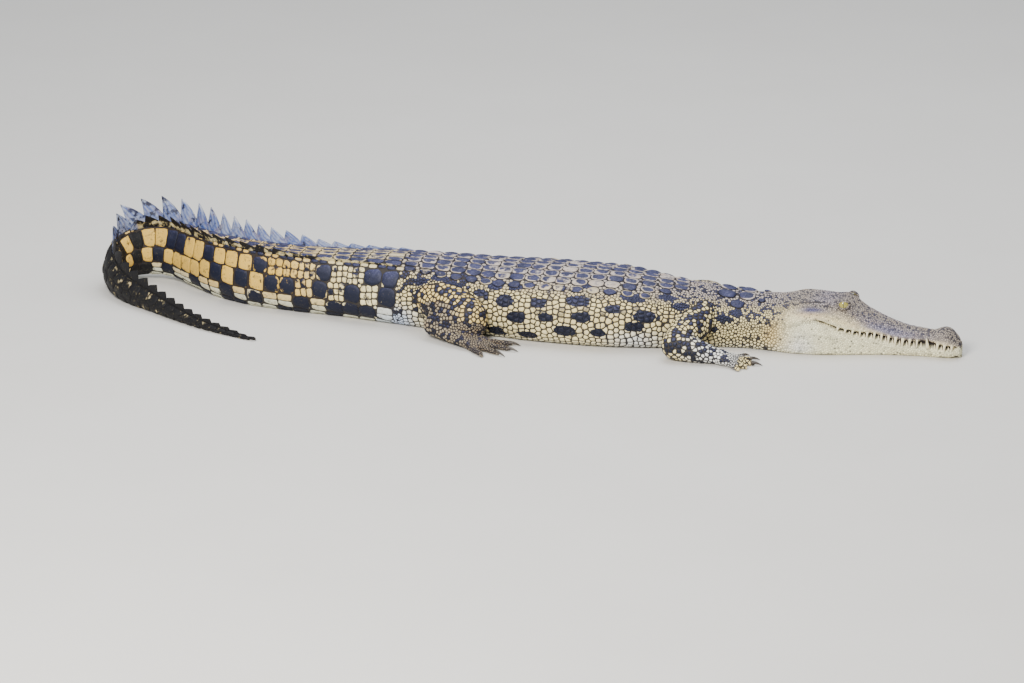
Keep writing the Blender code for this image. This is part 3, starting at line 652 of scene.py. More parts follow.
def add_limb(bm, side, limb):
    """A limb's three lengths and its toes, each a closed shape."""
    joints = limb_joints(side, limb)
    sizes, hand = limb["sizes"], limb["hand_sizes"]
    pairs = ((0, sizes[0], sizes[1]), (1, sizes[1], sizes[2]), (2, hand[0], hand[1]))
    for k, size_start, size_end in pairs:
        rings = segment_rings(joints[k], joints[k + 1], size_start, size_end)
        add_sheet(bm, closed_rows(rings))
    for root, ahead, length, thick in toe_lines(side, limb):
        rings = []
        for share, size in TOE_RINGS:
            middle = root + ahead * length * share
            radius = thick * 0.66 * size - LIMB_COAT * 0.5
            middle.z = radius * 0.92 + LIMB_COAT
            rings.append(limb_ring(middle, ahead, radius, radius, 14))
        add_sheet(bm, closed_rows(rings))


LIMB_MESH_STEP = 0.0026


def make_hide():
    """One hide: the body's loft with the limbs joined on, smoothed where they meet."""
    bm = bmesh.new()
    add_sheet(bm, hide_rows())
    body = finished("hide", bm)
    parts = []
    for side, limb in LIMBS:
        bm = bmesh.new()
        add_limb(bm, side, limb)
        part = finished("limb_shape", bm)
        remesh = part.modifiers.new("even", "REMESH")
        remesh.mode = "VOXEL"
        remesh.voxel_size = LIMB_MESH_STEP
        applied(part)
        even_out(part.data, np.ones(len(part.data.vertices)), 4)
        parts.append(part)
    bm = bmesh.new()
    for part in parts:
        bm.from_mesh(part.data)
        bpy.data.objects.remove(part, do_unlink=True)
    limbs = finished("limbs_shape", bm, even=False)
    trees = [bvhtree.BVHTree.FromObject(obj, bpy.context.evaluated_depsgraph_get())
             for obj in (body, limbs)]
    join = body.modifiers.new("limbs", "BOOLEAN")
    join.operation = "UNION"
    join.object = limbs
    join.solver = "EXACT"
    applied(body)
    bpy.data.objects.remove(limbs, do_unlink=True)
    mesh = body.data
    points = points_of(mesh)
    seam = [k for k, point in enumerate(points)
            if all(tree.find_nearest(point, 0.0002)[0] is not None for tree in trees)]
    nearest = tree_of(points[seam])
    away = np.array([nearest.find(point)[2] for point in points])
    even_out(mesh, 1 - smooth(0.002, 0.022, away), 14)
    mesh.shade_smooth()
    return body


# ---------------------------------------------------------------- places on the hide

def in_mouth(points, along, margin):
    """True in the groove between the lips; the margin is how deep in it starts."""
    base = place(along, 0.0, 0.0)
    across = np.hypot(points[:, 0] - base[:, 0], points[:, 1] - base[:, 1])
    half = through(HALF_WIDTH, along) - jaw_inset(along)
    level = np.abs(points[:, 2] - lip_line(along)) < lip_gap(along) + 0.0008
    return level & (across < half - margin) & (along < MOUTH_CORNER + 0.002)


class BodyMap:
    """Finds the place on the body's outline that a point lies nearest to."""

    def __init__(self):
        along = np.arange(0.004, LENGTH - 0.006, 0.006)
        shares = np.linspace(0.0, 1.0, 37)
        grid = [part.ravel() for part in np.meshgrid(along, shares, (-1.0, 1.0), indexing="ij")]
        self.along, self.share, self.side = grid
        self.at = on_body(*grid)
        self.lay, self.out, self.round = self.frame(*grid)
        self.tree = tree_of(self.at)

    @staticmethod
    def frame(along, share, side):
        """Unit directions towards the tail, outward, and round towards the belly."""
        back = on_body(along + 0.002, share, side) - on_body(along - 0.002, share, side)
        down = (on_body(along, np.minimum(share + 0.01, 1.0), side)
                - on_body(along, np.maximum(share - 0.01, 0.0), side))
        back, down = unit(back), unit(down)
        return back, unit(np.cross(back, down)) * -side[:, None], down

    def locate(self, points):
        found = np.array([self.tree.find(point)[1] for point in points])
        away = points - self.at[found]
        along = self.along[found] + np.sum(away * self.lay[found], axis=1)
        girth = np.maximum(half_girth(along), 0.005)
        share = self.share[found] + np.sum(away * self.round[found], axis=1) / girth
        off = np.sum(away * self.out[found], axis=1)
        return {"along": np.clip(along, 0, LENGTH), "share": np.clip(share, 0, 1),
                "side": self.side[found], "off": off, "lay": self.lay[found]}


def limb_places(points):
    """For each point: which limb's axis is nearest, how far off, and how far down the limb."""
    best = np.full(len(points), 9.0)
    limb_of = np.zeros(len(points), int)
    down = np.zeros(len(points))
    heading = np.zeros((len(points), 3))
    for number, (side, limb) in enumerate(LIMBS):
        joints = [np.array(joint) for joint in limb_joints(side, limb)]
        tip = joints[3] + (joints[3] - joints[2]) * (0.9 if limb is FORELIMB else 0.7)
        tip[2] = 0.008
        joints.append(tip)
        for k in range(4):
            line = joints[k + 1] - joints[k]
            length = np.linalg.norm(line)
            share = np.clip((points - joints[k]) @ line / length ** 2, 0, 1)
            away = np.linalg.norm(points - joints[k] - share[:, None] * line, axis=1)
            nearer = away < best
            best = np.where(nearer, away, best)
            limb_of = np.where(nearer, number, limb_of)
            down = np.where(nearer, k + share, down)
            heading[nearer] = line / length
    return limb_of, best, down, heading


# ---------------------------------------------------------------- the coat's layout

SCUTE, BLOCK, PLATE, SCALE, GRAIN = range(5)
FREE, PINKISH = -1.0, -0.5  # a scale whose darkness its row leaves open, and a pinkish one

SHIELD_HALF = ((0.500, 0.052), (0.560, 0.078), (0.640, 0.094), (0.800, 0.100), (0.900, 0.094),
               (1.000, 0.078), (1.081, 0.062))
BACK_ROWS = 18
BACK_START = 0.527
# The nape's great scutes: (along, distance from the crown, half length, half width).
NAPE = ((0.416, 0.0165, 0.0175, 0.0155), (0.455, 0.0175, 0.0185, 0.0160),
        (0.432, 0.0470, 0.0150, 0.0125), (0.385, 0.0300, 0.0080, 0.0070))

# The tail's bands of blocks: their length, and the shares of its side where rows begin.
BAND_START = 1.083
BAND_LENGTH = ((1.08, 0.0365), (1.20, 0.0345), (1.30, 0.0315), (1.40, 0.0290), (1.55, 0.0295),
               (1.70, 0.0320), (1.85, 0.0280), (2.20, 0.0200))
BAND_ROWS = (0.0, 0.08, 0.33, 0.61, 0.85, 1.0)
FAR_BAND_ROWS = (0.0, 0.05, 0.40, 0.67, 0.87, 1.0)
# The dark blocks of each row, by band, on the right side; the left side's are one band on.
DARK_BLOCKS = {
    1: (0, 1, 4, 8, 12, 15, 16, 19),
    2: (0, 2, 4, 6, 7, 9, 11, 17, 19),
    3: (1, 2, 3, 5, 8, 10, 13, 16, 18, 19),
    4: (3, 5, 6, 9, 10, 12, 15, 18),
}
BLACK_FROM = 1.750  # beyond this the tail is nearly black
CREST_BLUE_TO = 1.790  # before this the single blades carry the painted sky reflection on both faces


def band_lines():
    """Where the tail's bands begin and end."""
    lines = [BAND_START]
    while lines[-1] < LENGTH - 0.016:
        lines.append(lines[-1] + float(through(BAND_LENGTH, lines[-1])))
    return lines


class Layout:
    """Collects the scales' places, sizes and shapes."""

    def __init__(self):
        self.rows = []

    def add(self, along, around, side, half_long, half_wide, **more):
        """One scale; around is the distance from the crown round the body."""
        share = around / float(half_girth(along))
        if not 0.0 <= share <= 1.0:
            return
        row = {"power": 4.0, "kind": SCALE, "rise": 0.0012, "keel": 0.0, "dark": FREE,
               "oval": 0.0}
        row.update(more, along=along, share=share, side=side, half_long=half_long,
                   half_wide=half_wide)
        self.rows.append(row)

    def columns(self):
        return {key: np.array([row[key] for row in self.rows]) for key in self.rows[0]}


def lay_back(layout, side):
    """The back's rows of keeled scutes, and the nape's."""
    pitch = (VENT - BACK_START) / BACK_ROWS
    for row in range(BACK_ROWS):
        along = BACK_START + (row + 0.5) * pitch
        width = float(through(SHIELD_HALF, along)) / 4
        count = 2 if row == 0 else 3 if row == 1 else 4
        for k in range(count):
            outer = k == count - 1 and count > 2
            layout.add(along + DRAW.uniform(-0.0008, 0.0008), (k + 0.5) * width, side,
                       pitch * (0.44 if outer else 0.49), width * (0.43 if outer else 0.49),
                       power=2.4 if outer else 5.0, kind=SCUTE, rise=0.0016,
                       keel=0.0024 + 0.0006 * (k % 2), oval=1.0)
    for along, around, half_long, half_wide in NAPE:
        layout.add(along, around, side, half_long, half_wide, power=2.6, kind=SCUTE,
                   rise=0.0022, keel=0.0050 if half_long > 0.01 else 0.002, oval=0.95, dark=0.9)


def lay_flank(layout, side):
    """The flank's rows of rounded scales, larger low down."""
    along, row = 0.480, 0
    while along < VENT - 0.004:
        shield = float(through(SHIELD_HALF, max(along, 0.5))) + 0.007
        low = float(share_of(along, 1.0)[0] * half_girth(along)) - 0.006
        pitch = 0.0098 + 0.0014 * float(smooth(0.55, 0.75, along))
        pitch -= 0.0012 * smooth(1.0, 1.08, along)
        around = shield + (0.25 + 0.5 * (row % 2)) * 0.009
        while around < low:
            width = 0.0068 + 0.0056 * float(smooth(0.085, 0.175, around))
            parts = 2 if width < 0.0074 else 1
            for part in range(parts):
                at = along + (part + 0.5 - parts / 2 + DRAW.uniform(-0.27, 0.27)) * pitch / parts
                layout.add(at, around + DRAW.uniform(-0.2, 0.2) * width, side,
                           pitch * 0.66 / parts, width * 0.66, rise=0.0015, power=3.0)
            around += width * DRAW.uniform(0.86, 1.14)
        along += pitch
        row += 1


def lay_belly(layout, side):
    """The belly's and throat's smooth rectangular plates."""
    along = 0.350
    while along < VENT:
        pitch = 0.0150 + 0.0050 * float(smooth(0.45, 0.60, along))
        total = float(half_girth(along))
        low = float(share_of(along, 1.0)[0]) * total - 0.004
        count = max(int(round((total - low) / 0.0150)), 1)
        width = (total - low) / count
        for k in range(count):
            layout.add(along, total - (k + 0.5) * width, side, pitch * 0.5, width * 0.5,
                       power=8.0, kind=PLATE, rise=0.0010)
        along += pitch


def row_bounds(along, edge, flat):
    """Where the rows of blocks begin and end down a band's side; there are fewer far back."""
    rows = BAND_ROWS if along < 1.50 else FAR_BAND_ROWS
    bounds = [edge + (flat - edge) * share for share in rows]
    if along > 1.90:
        return [bounds[0], bounds[2] * 0.6 + bounds[3] * 0.4, bounds[5]]
    if along > BLACK_FROM:
        return bounds[:4] + bounds[5:]
    return bounds


def lay_block(layout, side, band, row, along, pitch, near, far):
    """A band's share of a row: one block, two, or a patch of small scales."""
    middle, width = (near + far) / 2, far - near
    at = along + 0.022 * (row / 4 - 0.4)  # the bands slant back as they go down
    number = band - (1 if side > 0 else 0)
    dark = 1.0 if number in DARK_BLOCKS.get(row, ()) else 0.10
    pale = dark < 0.5
    if along > BLACK_FROM:
        layout.add(at, middle, side, pitch * 0.5, width * 0.5, power=8.0, kind=BLOCK, dark=0.80,
                   keel=0.0006)
    elif row == 0:
        for part in (-0.25, 0.25):
            layout.add(at + part * pitch, middle, side, pitch * 0.25, width * 0.5,
                       dark=0.9 if (band + (part > 0)) % 2 else 0.2)
    elif pale and row in (1, 2) and along < 1.36:
        lengths, across = 3 if along < 1.30 else 2, 3 if along < 1.25 else 2
        for i, j in product(range(lengths), range(across)):
            shift = DRAW.uniform(-0.0012, 0.0012, 2)
            layout.add(at + ((i + 0.5) / lengths - 0.5) * pitch + shift[0],
                       near + (j + 0.5) * width / across + shift[1], side,
                       pitch * 0.60 / lengths, width * 0.60 / across, power=7.0, rise=0.0011,
                       dark=PINKISH)
    elif row == 4 or (pale and row == 3):
        for part in (-0.25, 0.25):
            layout.add(at, middle + part * width, side, pitch * 0.5, width * 0.25, power=8.0,
                       kind=BLOCK, rise=0.0013, dark=dark)
    else:
        layout.add(at, middle, side, pitch * 0.52, width * 0.52, power=12.0, kind=BLOCK,
                   rise=0.0015, dark=dark, keel=0.0 if pale else 0.0010,
                   oval=0.75 * (1 - float(smooth(1.32, 1.52, along))))


def lay_tail(layout, side):
    """The tail's bands: scutes on top, rows of blocks down the side, and smooth plates below."""
    lines = band_lines()
    for band, (start, end) in enumerate(zip(lines, lines[1:])):
        along, pitch = (start + end) / 2, end - start
        total = float(half_girth(along))
        edge = float(share_of(along, 5.0)[0]) * total
        flat = float(share_of(along, 1.0)[0]) * total
        if edge > 0.010:
            count = max(int(round(edge / 0.017)), 1)
            width = (edge - 0.002) / count
            for k in range(count):
                layout.add(along, (k + 0.5) * width, side, pitch * 0.5, width * 0.5, power=5.0,
                           kind=SCUTE, rise=0.0013, keel=0.0018, oval=0.9)
        bounds = row_bounds(along, edge, flat)
        for row, (near, far) in enumerate(zip(bounds, bounds[1:])):
            lay_block(layout, side, band, row, along, pitch, near, far)
        if along < 2.05:
            count = 2 if total - flat > 0.024 else 1
            width = (total - flat) / count
            for k in range(count):
                layout.add(along + 0.011, flat + (k + 0.5) * width, side, pitch * 0.5,
                           width * 0.5, power=8.0, kind=PLATE, rise=0.0010)


def structured_scales(tree):
    """The scales that lie in rows, set down on the hide; those under a limb are left out."""
    layout = Layout()
    for side in (-1, 1):
        lay_back(layout, side)
        lay_flank(layout, side)
        lay_belly(layout, side)
        lay_tail(layout, side)
    seeds = layout.columns()
    seeds["along"] = np.clip(seeds["along"], 0.0, LENGTH - 0.003)
    side = seeds["side"].astype(float)
    points = on_body(seeds["along"], seeds["share"], side)
    lay, out, _ = BodyMap.frame(seeds["along"], seeds["share"], side)
    at, normal, found = set_down(tree, points, 0.012)
    near = [(Vector(there) - Vector(point)).length < 0.0048 for there, point in zip(at, points)]
    keep = found & np.array(near) & (np.sum(normal * out, axis=1) > 0.55)
    seeds.update(at=at, out=out, lay=lay, down=np.full(len(at), -1.0))
    return {key: value[keep] for key, value in seeds.items()}


# ---------------------------------------------------------------- scales between the rows

EYES = [place(EYE_AT, side * EYE_ACROSS, EYE_UP[side]) for side in (-1, 1)]


def spacing(where, down):
    """How far apart the small scales lie at each point, and whether it is on a limb."""
    along = where["along"]
    turn = turn_of(along, where["share"])
    head = 0.0035 + 0.0008 * smooth(3.0, 1.5, turn)
    neck = 0.0047 + 0.0020 * (1 - smooth(1.6, 3.2, turn))
    size = np.where(along < 0.52, head + (neck - head) * smooth(0.28, 0.42, along), 0.0052)
    size = np.where((np.abs(along - EYE_AT) < 0.018) & (turn > 3.9) & (turn < 5.6), 0.0029, size)
    on_limb = (where["off"] > 0.004) & (along > 0.40) & (along < 1.12)
    limb_size = np.interp(down, (0.0, 0.9, 1.4, 2.0, 2.7, 3.1, 4.0),
                          (0.0074, 0.0078, 0.0072, 0.0060, 0.0048, 0.0044, 0.0034))
    return np.where(on_limb, limb_size, size), on_limb


def spread_out(at, least):
    """Numbers of the points that keep a distance, whose square is least, from those kept before."""
    cell = 0.009
    cells, kept = {}, []
    for k, point in enumerate(at):
        key = tuple(int(value // cell) for value in point)
        around = (cells.get((key[0] + i, key[1] + j, key[2] + m), ())
                  for i, j, m in product((-1, 0, 1), repeat=3))
        if not any(squared(at[other] - point) < least[k] for other in chain.from_iterable(around)):
            cells.setdefault(key, []).append(k)
            kept.append(k)
    return np.array(kept)


def squared(way):
    """The square of a vector's length."""
    return way[0] * way[0] + way[1] * way[1] + way[2] * way[2]


def scattered_scales(hide, body_map, taken):
    """Small scales all over the rest of the hide, evenly but freely spread."""
    mesh = hide.data
    mesh.calc_loop_triangles()
    corner = numbers_of(mesh.loop_triangles, "vertices", 3, int)
    points, normals = points_of(mesh), numbers_of(mesh.vertex_normals, "vector")
    middle = points[corner].mean(axis=1)
    edges = points[corner[:, 1:]] - points[corner[:, :1]]
    area = np.linalg.norm(np.cross(edges[:, 0], edges[:, 1]), axis=1) / 2
    where = body_map.locate(middle)
    _, _, down, _ = limb_places(middle)
    size, _ = spacing(where, down)
    inside = in_mouth(middle, where["along"], 0.0012)
    inside |= creases(where["along"], turn_of(where["along"], where["share"])) > 0.30
    for eye in EYES:
        inside |= np.linalg.norm(middle - eye, axis=1) < EYE_RADIUS + 0.0010
    tail = (where["along"] > 1.16) & (where["share"] < 0.9)
    weight = area / size ** 2 * ~inside * ~tail
    count = int(weight.sum() * 9)
    chosen = DRAW.choice(len(area), count, p=weight / weight.sum())
    mix = DRAW.random((count, 2))
    flip = mix.sum(axis=1) > 1
    mix[flip] = 1 - mix[flip]
    mix = np.stack([1 - mix.sum(axis=1), mix[:, 0], mix[:, 1]], -1)
    at = np.einsum("nk,nkc->nc", mix, points[corner[chosen]])
    out = unit(np.einsum("nk,nkc->nc", mix, normals[corner[chosen]]))
    size = size[chosen] * DRAW.uniform(0.92, 1.08, count)

    # what the rows already cover
    tree = tree_of(taken["at"])
    near = np.array([[item[1] for item in tree.find_n(point, 7)] for point in at])
    offset = at[:, None] - taken["at"][near]
    lay, side_way = taken["lay"][near], np.cross(taken["out"][near], taken["lay"][near])
    long_way = np.abs(np.sum(offset * lay, axis=2)) / (taken["half_long"][near] * 1.02
                                                       + size[:, None] * 0.22)
    wide_way = np.abs(np.sum(offset * side_way, axis=2)) / (taken["half_wide"][near] * 1.02
                                                            + size[:, None] * 0.22)
    power = np.minimum(taken["power"][near], 5.0)
    high = np.abs(np.sum(offset * taken["out"][near], axis=2)) < 0.010
    covered = ((long_way ** power + wide_way ** power < 1.0) & high).any(axis=1)
    free = np.flatnonzero(~covered)
    kept = free[spread_out(at[free], size[free] ** 2 * 0.74)]
    at, out, size = at[kept], out[kept], size[kept]
    where = body_map.locate(at)
    limb, _, down, heading = limb_places(at)
    _, on_limb = spacing(where, down)
    lay = np.where(on_limb[:, None], heading, where["lay"])
    lay = unit(lay - out * np.sum(lay * out, axis=1)[:, None])
    total = len(at)
    return {
        "at": at, "out": out, "lay": lay, "along": where["along"], "share": where["share"],
        "side": where["side"].astype(int), "half_long": size * 0.80, "half_wide": size * 0.74,
        "power": np.full(total, 3.0), "kind": np.where(size > 0.0057, SCALE, GRAIN),
        "rise": np.clip(size * 0.15, 0.0004, 0.0011), "keel": np.zeros(total),
        "dark": np.full(total, FREE), "oval": np.zeros(total),
        "down": np.where(on_limb, down, -1.0), "limb": limb,
    }


# ---------------------------------------------------------------- markings

def tint(red, green, blue):
    """A colour as a painter's chart gives it, turned to the light it throws back."""
    value = np.array([red, green, blue]) / 255.0
    return np.where(value <= 0.04045, value / 12.92, ((value + 0.055) / 1.055) ** 2.4)


CREAM = tint(248, 232, 174)
STRAW = tint(238, 218, 156)
GOLD = tint(228, 184, 80)
PALE = tint(246, 240, 208)
WHITE = tint(244, 244, 238)
BONE = tint(196, 180, 146)
LILAC = tint(160, 154, 178)
STONE = tint(170, 158, 144)
ROSE = tint(244, 226, 190)
AMBER = tint(228, 180, 96)
JAW = tint(255, 249, 208)
MUD = tint(126, 114, 98)
BLUE_BLACK = tint(20, 24, 42)
BLACK = tint(17, 16, 17)
SLATE = tint(80, 80, 126)
# A near-black painted as shade in the furrows between scales, along each scale's rim and in the
# cheek fold; it also dulls the crest's outer ground.
SHADE_BLACK = tint(31, 27, 32)
ICE = tint(206, 222, 246)
CHALK = tint(222, 222, 196)

# The flank's dark ovals on the right side, as (along, share); the left side's are set back.
FLANK_SPOTS = (
    (0.844, 0.300), (0.720, 0.225), (0.624, 0.300), (0.568, 0.255), (0.720, 0.367),
    (0.656, 0.400), (0.540, 0.330), (0.862, 0.405), (0.792, 0.400), (0.836, 0.500),
    (0.776, 0.483), (0.708, 0.467), (0.602, 0.433), (0.618, 0.505), (0.740, 0.562),
    (0.680, 0.560), (0.816, 0.622), (0.880, 0.630), (1.004, 0.283), (0.975, 0.345),
    (0.916, 0.367), (0.890, 0.300), (0.945, 0.450), (0.492, 0.300), (0.455, 0.400),
    (0.476, 0.500), (0.430, 0.330), (0.520, 0.440), (1.040, 0.330), (1.030, 0.430),
)
SPOT_HALF_LONG, SPOT_HALF_WIDE = 0.0195, 0.0115
LEFT_SHIFT = 0.024
DARK_BACK_ROWS = (2, 6, 10, 13, 14)


def blend(low, high, share):
    """Colours between two colours, by one share or by a share for each place."""
    share = np.asarray(share)[..., None]
    return low * (1 - share) + high * share


def washed(ground, *washes):
    """A colour with washes of other colours laid over it in turn."""
    for colour, share in washes:
        ground = blend(ground, colour, share)
    return ground


def ground_colours(where, on_limb, down):
    """The pale colour under the dark marks, at each place."""
    along = where["along"]
    turn = turn_of(along, where["share"])

    def patch(at, reach, turn_at, turn_reach):
        """1 in the middle of a soft spot."""
        return hump(along, at, reach) * hump(turn, turn_at, turn_reach)

    back = washed(BONE, (STRAW, 0.35), (LILAC, smooth(4.4, 5.6, turn) * 0.55))
    trunk = washed(STRAW, (CREAM, 1 - smooth(2.2, 3.6, turn)), (back, smooth(4.2, 4.8, turn)),
                   (PALE, 1 - smooth(1.0, 2.2, turn)),
                   (WHITE, hump(along, 0.618, 0.045) * (1 - smooth(2.2, 3.0, turn))))
    neck = washed(STRAW, (CREAM, 0.5), (back, smooth(3.9, 4.9, turn)),
                  (PALE, 1 - smooth(1.0, 2.3, turn)), (AMBER, patch(0.352, 0.022, 2.5, 0.9) * 0.45))
    trunk = blend(neck, trunk, smooth(0.47, 0.56, along))

    top = washed(STONE, (LILAC, patch(0.130, 0.060, 4.3, 1.0) * 0.9),
                 (LILAC, 0.5 * hump(along, 0.262, 0.030) * smooth(4.4, 5.0, turn)))
    head = washed(ROSE, (top, smooth(4.0, 4.7, turn)),
                  (top, smooth(3.45, 3.9, turn) * (1 - smooth(0.17, 0.21, along))),
                  (blend(JAW, ROSE, 0.25), 1 - smooth(3.25, 3.6, turn)),
                  (JAW, 1 - smooth(2.8, 3.0, turn)),
                  (SLATE, patch(0.276, 0.036, 3.95, 0.46)),  # the ear
                  (CREAM, patch(0.225, 0.035, 3.55, 0.35) * 0.7),  # below the eye
                  (AMBER, patch(0.280, 0.030, 3.35, 0.3) * 0.35),
                  (WHITE, patch(0.305, 0.034, 1.7, 0.75) * 0.9))  # the throat
    whole = blend(head, trunk, smooth(0.285, 0.365, along))

    gold = smooth(1.16, 1.34, along)
    tail = washed(CREAM, (GOLD, gold),
                  (blend(BONE, GOLD, 0.4 * gold), smooth(4.5, 5.2, turn)),
                  (CHALK, 1 - smooth(1.5, 2.5, turn - 0.4 * gold)),
                  (blend(STRAW, MUD, 0.5), smooth(BLACK_FROM - 0.02, BLACK_FROM + 0.02, along)))
    whole = washed(whole, (tail, smooth(1.06, 1.11, along)),
                   (ICE, hump(along, 1.085, 0.036) * (1 - smooth(2.2, 3.4, turn))))

    front = along < 0.75
    fore = washed(STRAW, (CREAM, 0.5), (WHITE, smooth(0.9, 1.9, down)))
    hind = washed(CREAM, (GOLD, 0.55), (blend(BONE, MUD, 0.6), smooth(0.9, 1.5, down)))
    limb = blend(np.where(front[:, None], fore, hind), MUD,
                 smooth(2.3, 3.2, down) * np.where(front, 0.35, 0.85))
    return np.where(on_limb[:, None], limb, whole)


def spot_marks(along, share, side):
    """1 inside the flank's dark ovals."""
    girth = half_girth(along)
    value = np.zeros_like(along)
    for number, (at, at_share) in enumerate(FLANK_SPOTS):
        at_side = at + np.where(side > 0, LEFT_SHIFT, 0.0)
        size = 0.80 + 0.35 * ((number * 7) % 5) / 4
        if at < 0.54:
            size *= 0.75
        reach = (((along - at_side) / SPOT_HALF_LONG) ** 2
                 + ((share - at_share) * girth / SPOT_HALF_WIDE) ** 2) / size ** 2
        value = np.maximum(value, 1 - smooth(0.75, 1.15, reach))
    return value


def blotches(points, scale, low, high):
    """1 inside loose patches of noise."""
    raw = np.array([noise.noise(Vector(point) * scale + Vector((0.0, 7.0, 3.0)))
                    for point in points])
    return smooth(0.0, 1.0, (raw - low) / (high - low))


def dark_marks(seeds):
    """How dark each scale is; the scales whose rows settle it keep their own value."""
    along, share, side, at = (seeds[key] for key in ("along", "share", "side", "at"))
    turn = turn_of(along, share)
    on_limb = seeds["down"] >= 0
    chance = DRAW.random(len(along))
    own = seeds["dark"]

    # the flank's ovals; its larger scales get theirs point by point
    body = (along > 0.40) & (along < VENT) & ~on_limb & (seeds["kind"] != SCALE)
    spots = spot_marks(along, share, side) * body

    # the neck, and the flank beside the scutes
    neck = (along > 0.31) & (along < 0.56) & ~on_limb
    marks = np.maximum(blotches(at, 120.0, 0.19, 0.40) * 0.9, (chance < 0.16) * 0.62)
    marks = np.maximum(marks * smooth(2.2, 3.4, turn), (chance < 0.06) * 0.55)
    specks = np.where(neck, marks, 0.0)
    upper = (along >= 0.56) & (along < VENT) & (turn > 3.4) & ~on_limb
    specks = np.where(upper, (chance < 0.12) * 0.48, specks)

    # the hips and the tail's base
    hip = (along > 0.90) & (along < 1.08) & (turn > 2.2) & ~on_limb
    specks = np.maximum(specks, blotches(at, 80.0, 0.16, 0.30) * 0.9 * hip)
    base = (along > VENT - 0.01) & (along < 1.16) & (turn > 1.7)
    specks = np.maximum(specks, blotches(at, 75.0, 0.16, 0.34) * 0.9 * base)

    # the limbs, which are plainer towards the toes
    least = np.where(along > 0.75, 0.12, 0.09)
    marks = np.maximum(blotches(at, 84.0, least, least + 0.12), (chance < 0.10) * 0.8)
    marks *= 1 - 0.5 * smooth(2.4, 3.2, seeds["down"])
    specks = np.where(on_limb, marks * 0.95, specks)

    # the head's freckles, which are darkest on top and towards the neck
    freckles = blotches(at, 420.0, 0.16, 0.34) * 0.56
    marks = np.maximum(freckles, (chance < 0.20) * 0.56) * smooth(3.6, 4.5, turn)
    marks = np.maximum(marks, (chance < 0.16) * 0.46)
    nape = (chance < 0.4) * 0.42 * smooth(0.275, 0.33, along) * (turn > 2.8)
    specks = np.where((along < 0.33) & ~on_limb, np.maximum(marks, nape), specks)
    specks = np.where(own == PINKISH, np.where(chance < 0.10, 0.60, 0.27), specks)
    value = np.where(own >= 0, own, np.maximum(spots, specks))

    # the back's scutes
    scute = seeds["kind"] == SCUTE
    row = np.floor((along - BACK_START) / ((VENT - BACK_START) / BACK_ROWS)).astype(int)
    band = np.isin(row, DARK_BACK_ROWS) & (along < VENT) & (chance < 0.80)
    plain = np.where(chance < 0.06, 0.30, np.where(chance < 0.26, 0.60, 0.88))
    value = np.where(scute & (own < 0), np.where(band, 0.97, plain), value)
    oval = np.where(scute & band, 0.75, seeds["oval"])
    return value, oval


# ---------------------------------------------------------------- the coat's scales

GAPS = {SCUTE: 0.00045, BLOCK: 0.00040, PLATE: 0.00040, SCALE: 0.00060, GRAIN: 0.00032}
RINGS = {
    "plates": (16, ((1.0, None), (0.985, 0.50), (0.95, 0.86), (0.64, 1.0), (0.30, 1.0))),
    "scales": (12, ((1.0, None), (0.92, 0.50), (0.62, 0.94))),
    "grains": (8, ((1.0, None), (0.80, 0.72))),
}
# How wide the band of painted shade along each scale's edge is, by form.
RIM = {"plates": 0.0007, "scales": 0.0009, "grains": 0.0006}
PATCH = 0.0030  # across each scale's patch of the baking map
# The map's charts of head, trunk and tail: (the distance along where each begins, its place on
# the map, how large a metre is on it). The limbs' charts stand in a row between them.
CHARTS = ((0.0, 0.63, 0.76, 0.9), (HEAD_END, 0.012, 0.75, 0.75), (1.10, 0.012, 0.195, 0.75))
LIMB_CHART_PLACE, LIMB_CHART_STEP, LIMB_CHART_SIZE = (0.02, 0.445), 0.245, (0.052, 0.048)


def nearest_seeds(at, count):
    """The numbers of each scale's nearest neighbours."""
    tree = tree_of(at)
    return np.array([[item[1] for item in tree.find_n(point, count + 1)][1:] for point in at])


def scale_edges(seeds, near, chosen, sides):
    """Each scale's outline: directions in its own plane, and how far it reaches in each."""
    at, out, lay = (seeds[key] for key in ("at", "out", "lay"))
    cross = np.cross(out, lay)
    size = np.sqrt(seeds["half_long"] * seeds["half_wide"])
    angle = 2 * np.pi * np.arange(sides) / sides
    half_long, half_wide = seeds["half_long"][chosen], seeds["half_wide"][chosen]
    way = unit(np.stack([half_long[:, None] * np.cos(angle),
                         half_wide[:, None] * np.sin(angle)], -1))
    power = seeds["power"][chosen][:, None]
    reach = ((np.abs(way[:, :, 0]) / half_long[:, None]) ** power
             + (np.abs(way[:, :, 1]) / half_wide[:, None]) ** power) ** (-1 / power)
    others = near[chosen]
    offset = at[others] - at[chosen][:, None]
    flat = np.stack([np.sum(offset * lay[chosen][:, None], axis=2),
                     np.sum(offset * cross[chosen][:, None], axis=2)], -1)
    share = size[chosen][:, None] / (size[chosen][:, None] + size[others])
    same_way = np.sum(out[others] * out[chosen][:, None], axis=2) > 0.25
    square = np.sum(flat ** 2, axis=2)
    facing = np.einsum("nkc,nmc->nkm", flat, way)
    limit = np.where((facing > 1e-6) & same_way[:, :, None],
                     share[:, :, None] * square[:, :, None] / np.maximum(facing, 1e-6), 1.0)
    own = np.minimum(reach, limit.min(axis=1))
    gap = np.array([GAPS[kind] for kind in seeds["kind"][chosen]])[:, None]
    own = np.maximum(own - gap, reach * 0.22)
    return way, own, cross[chosen]


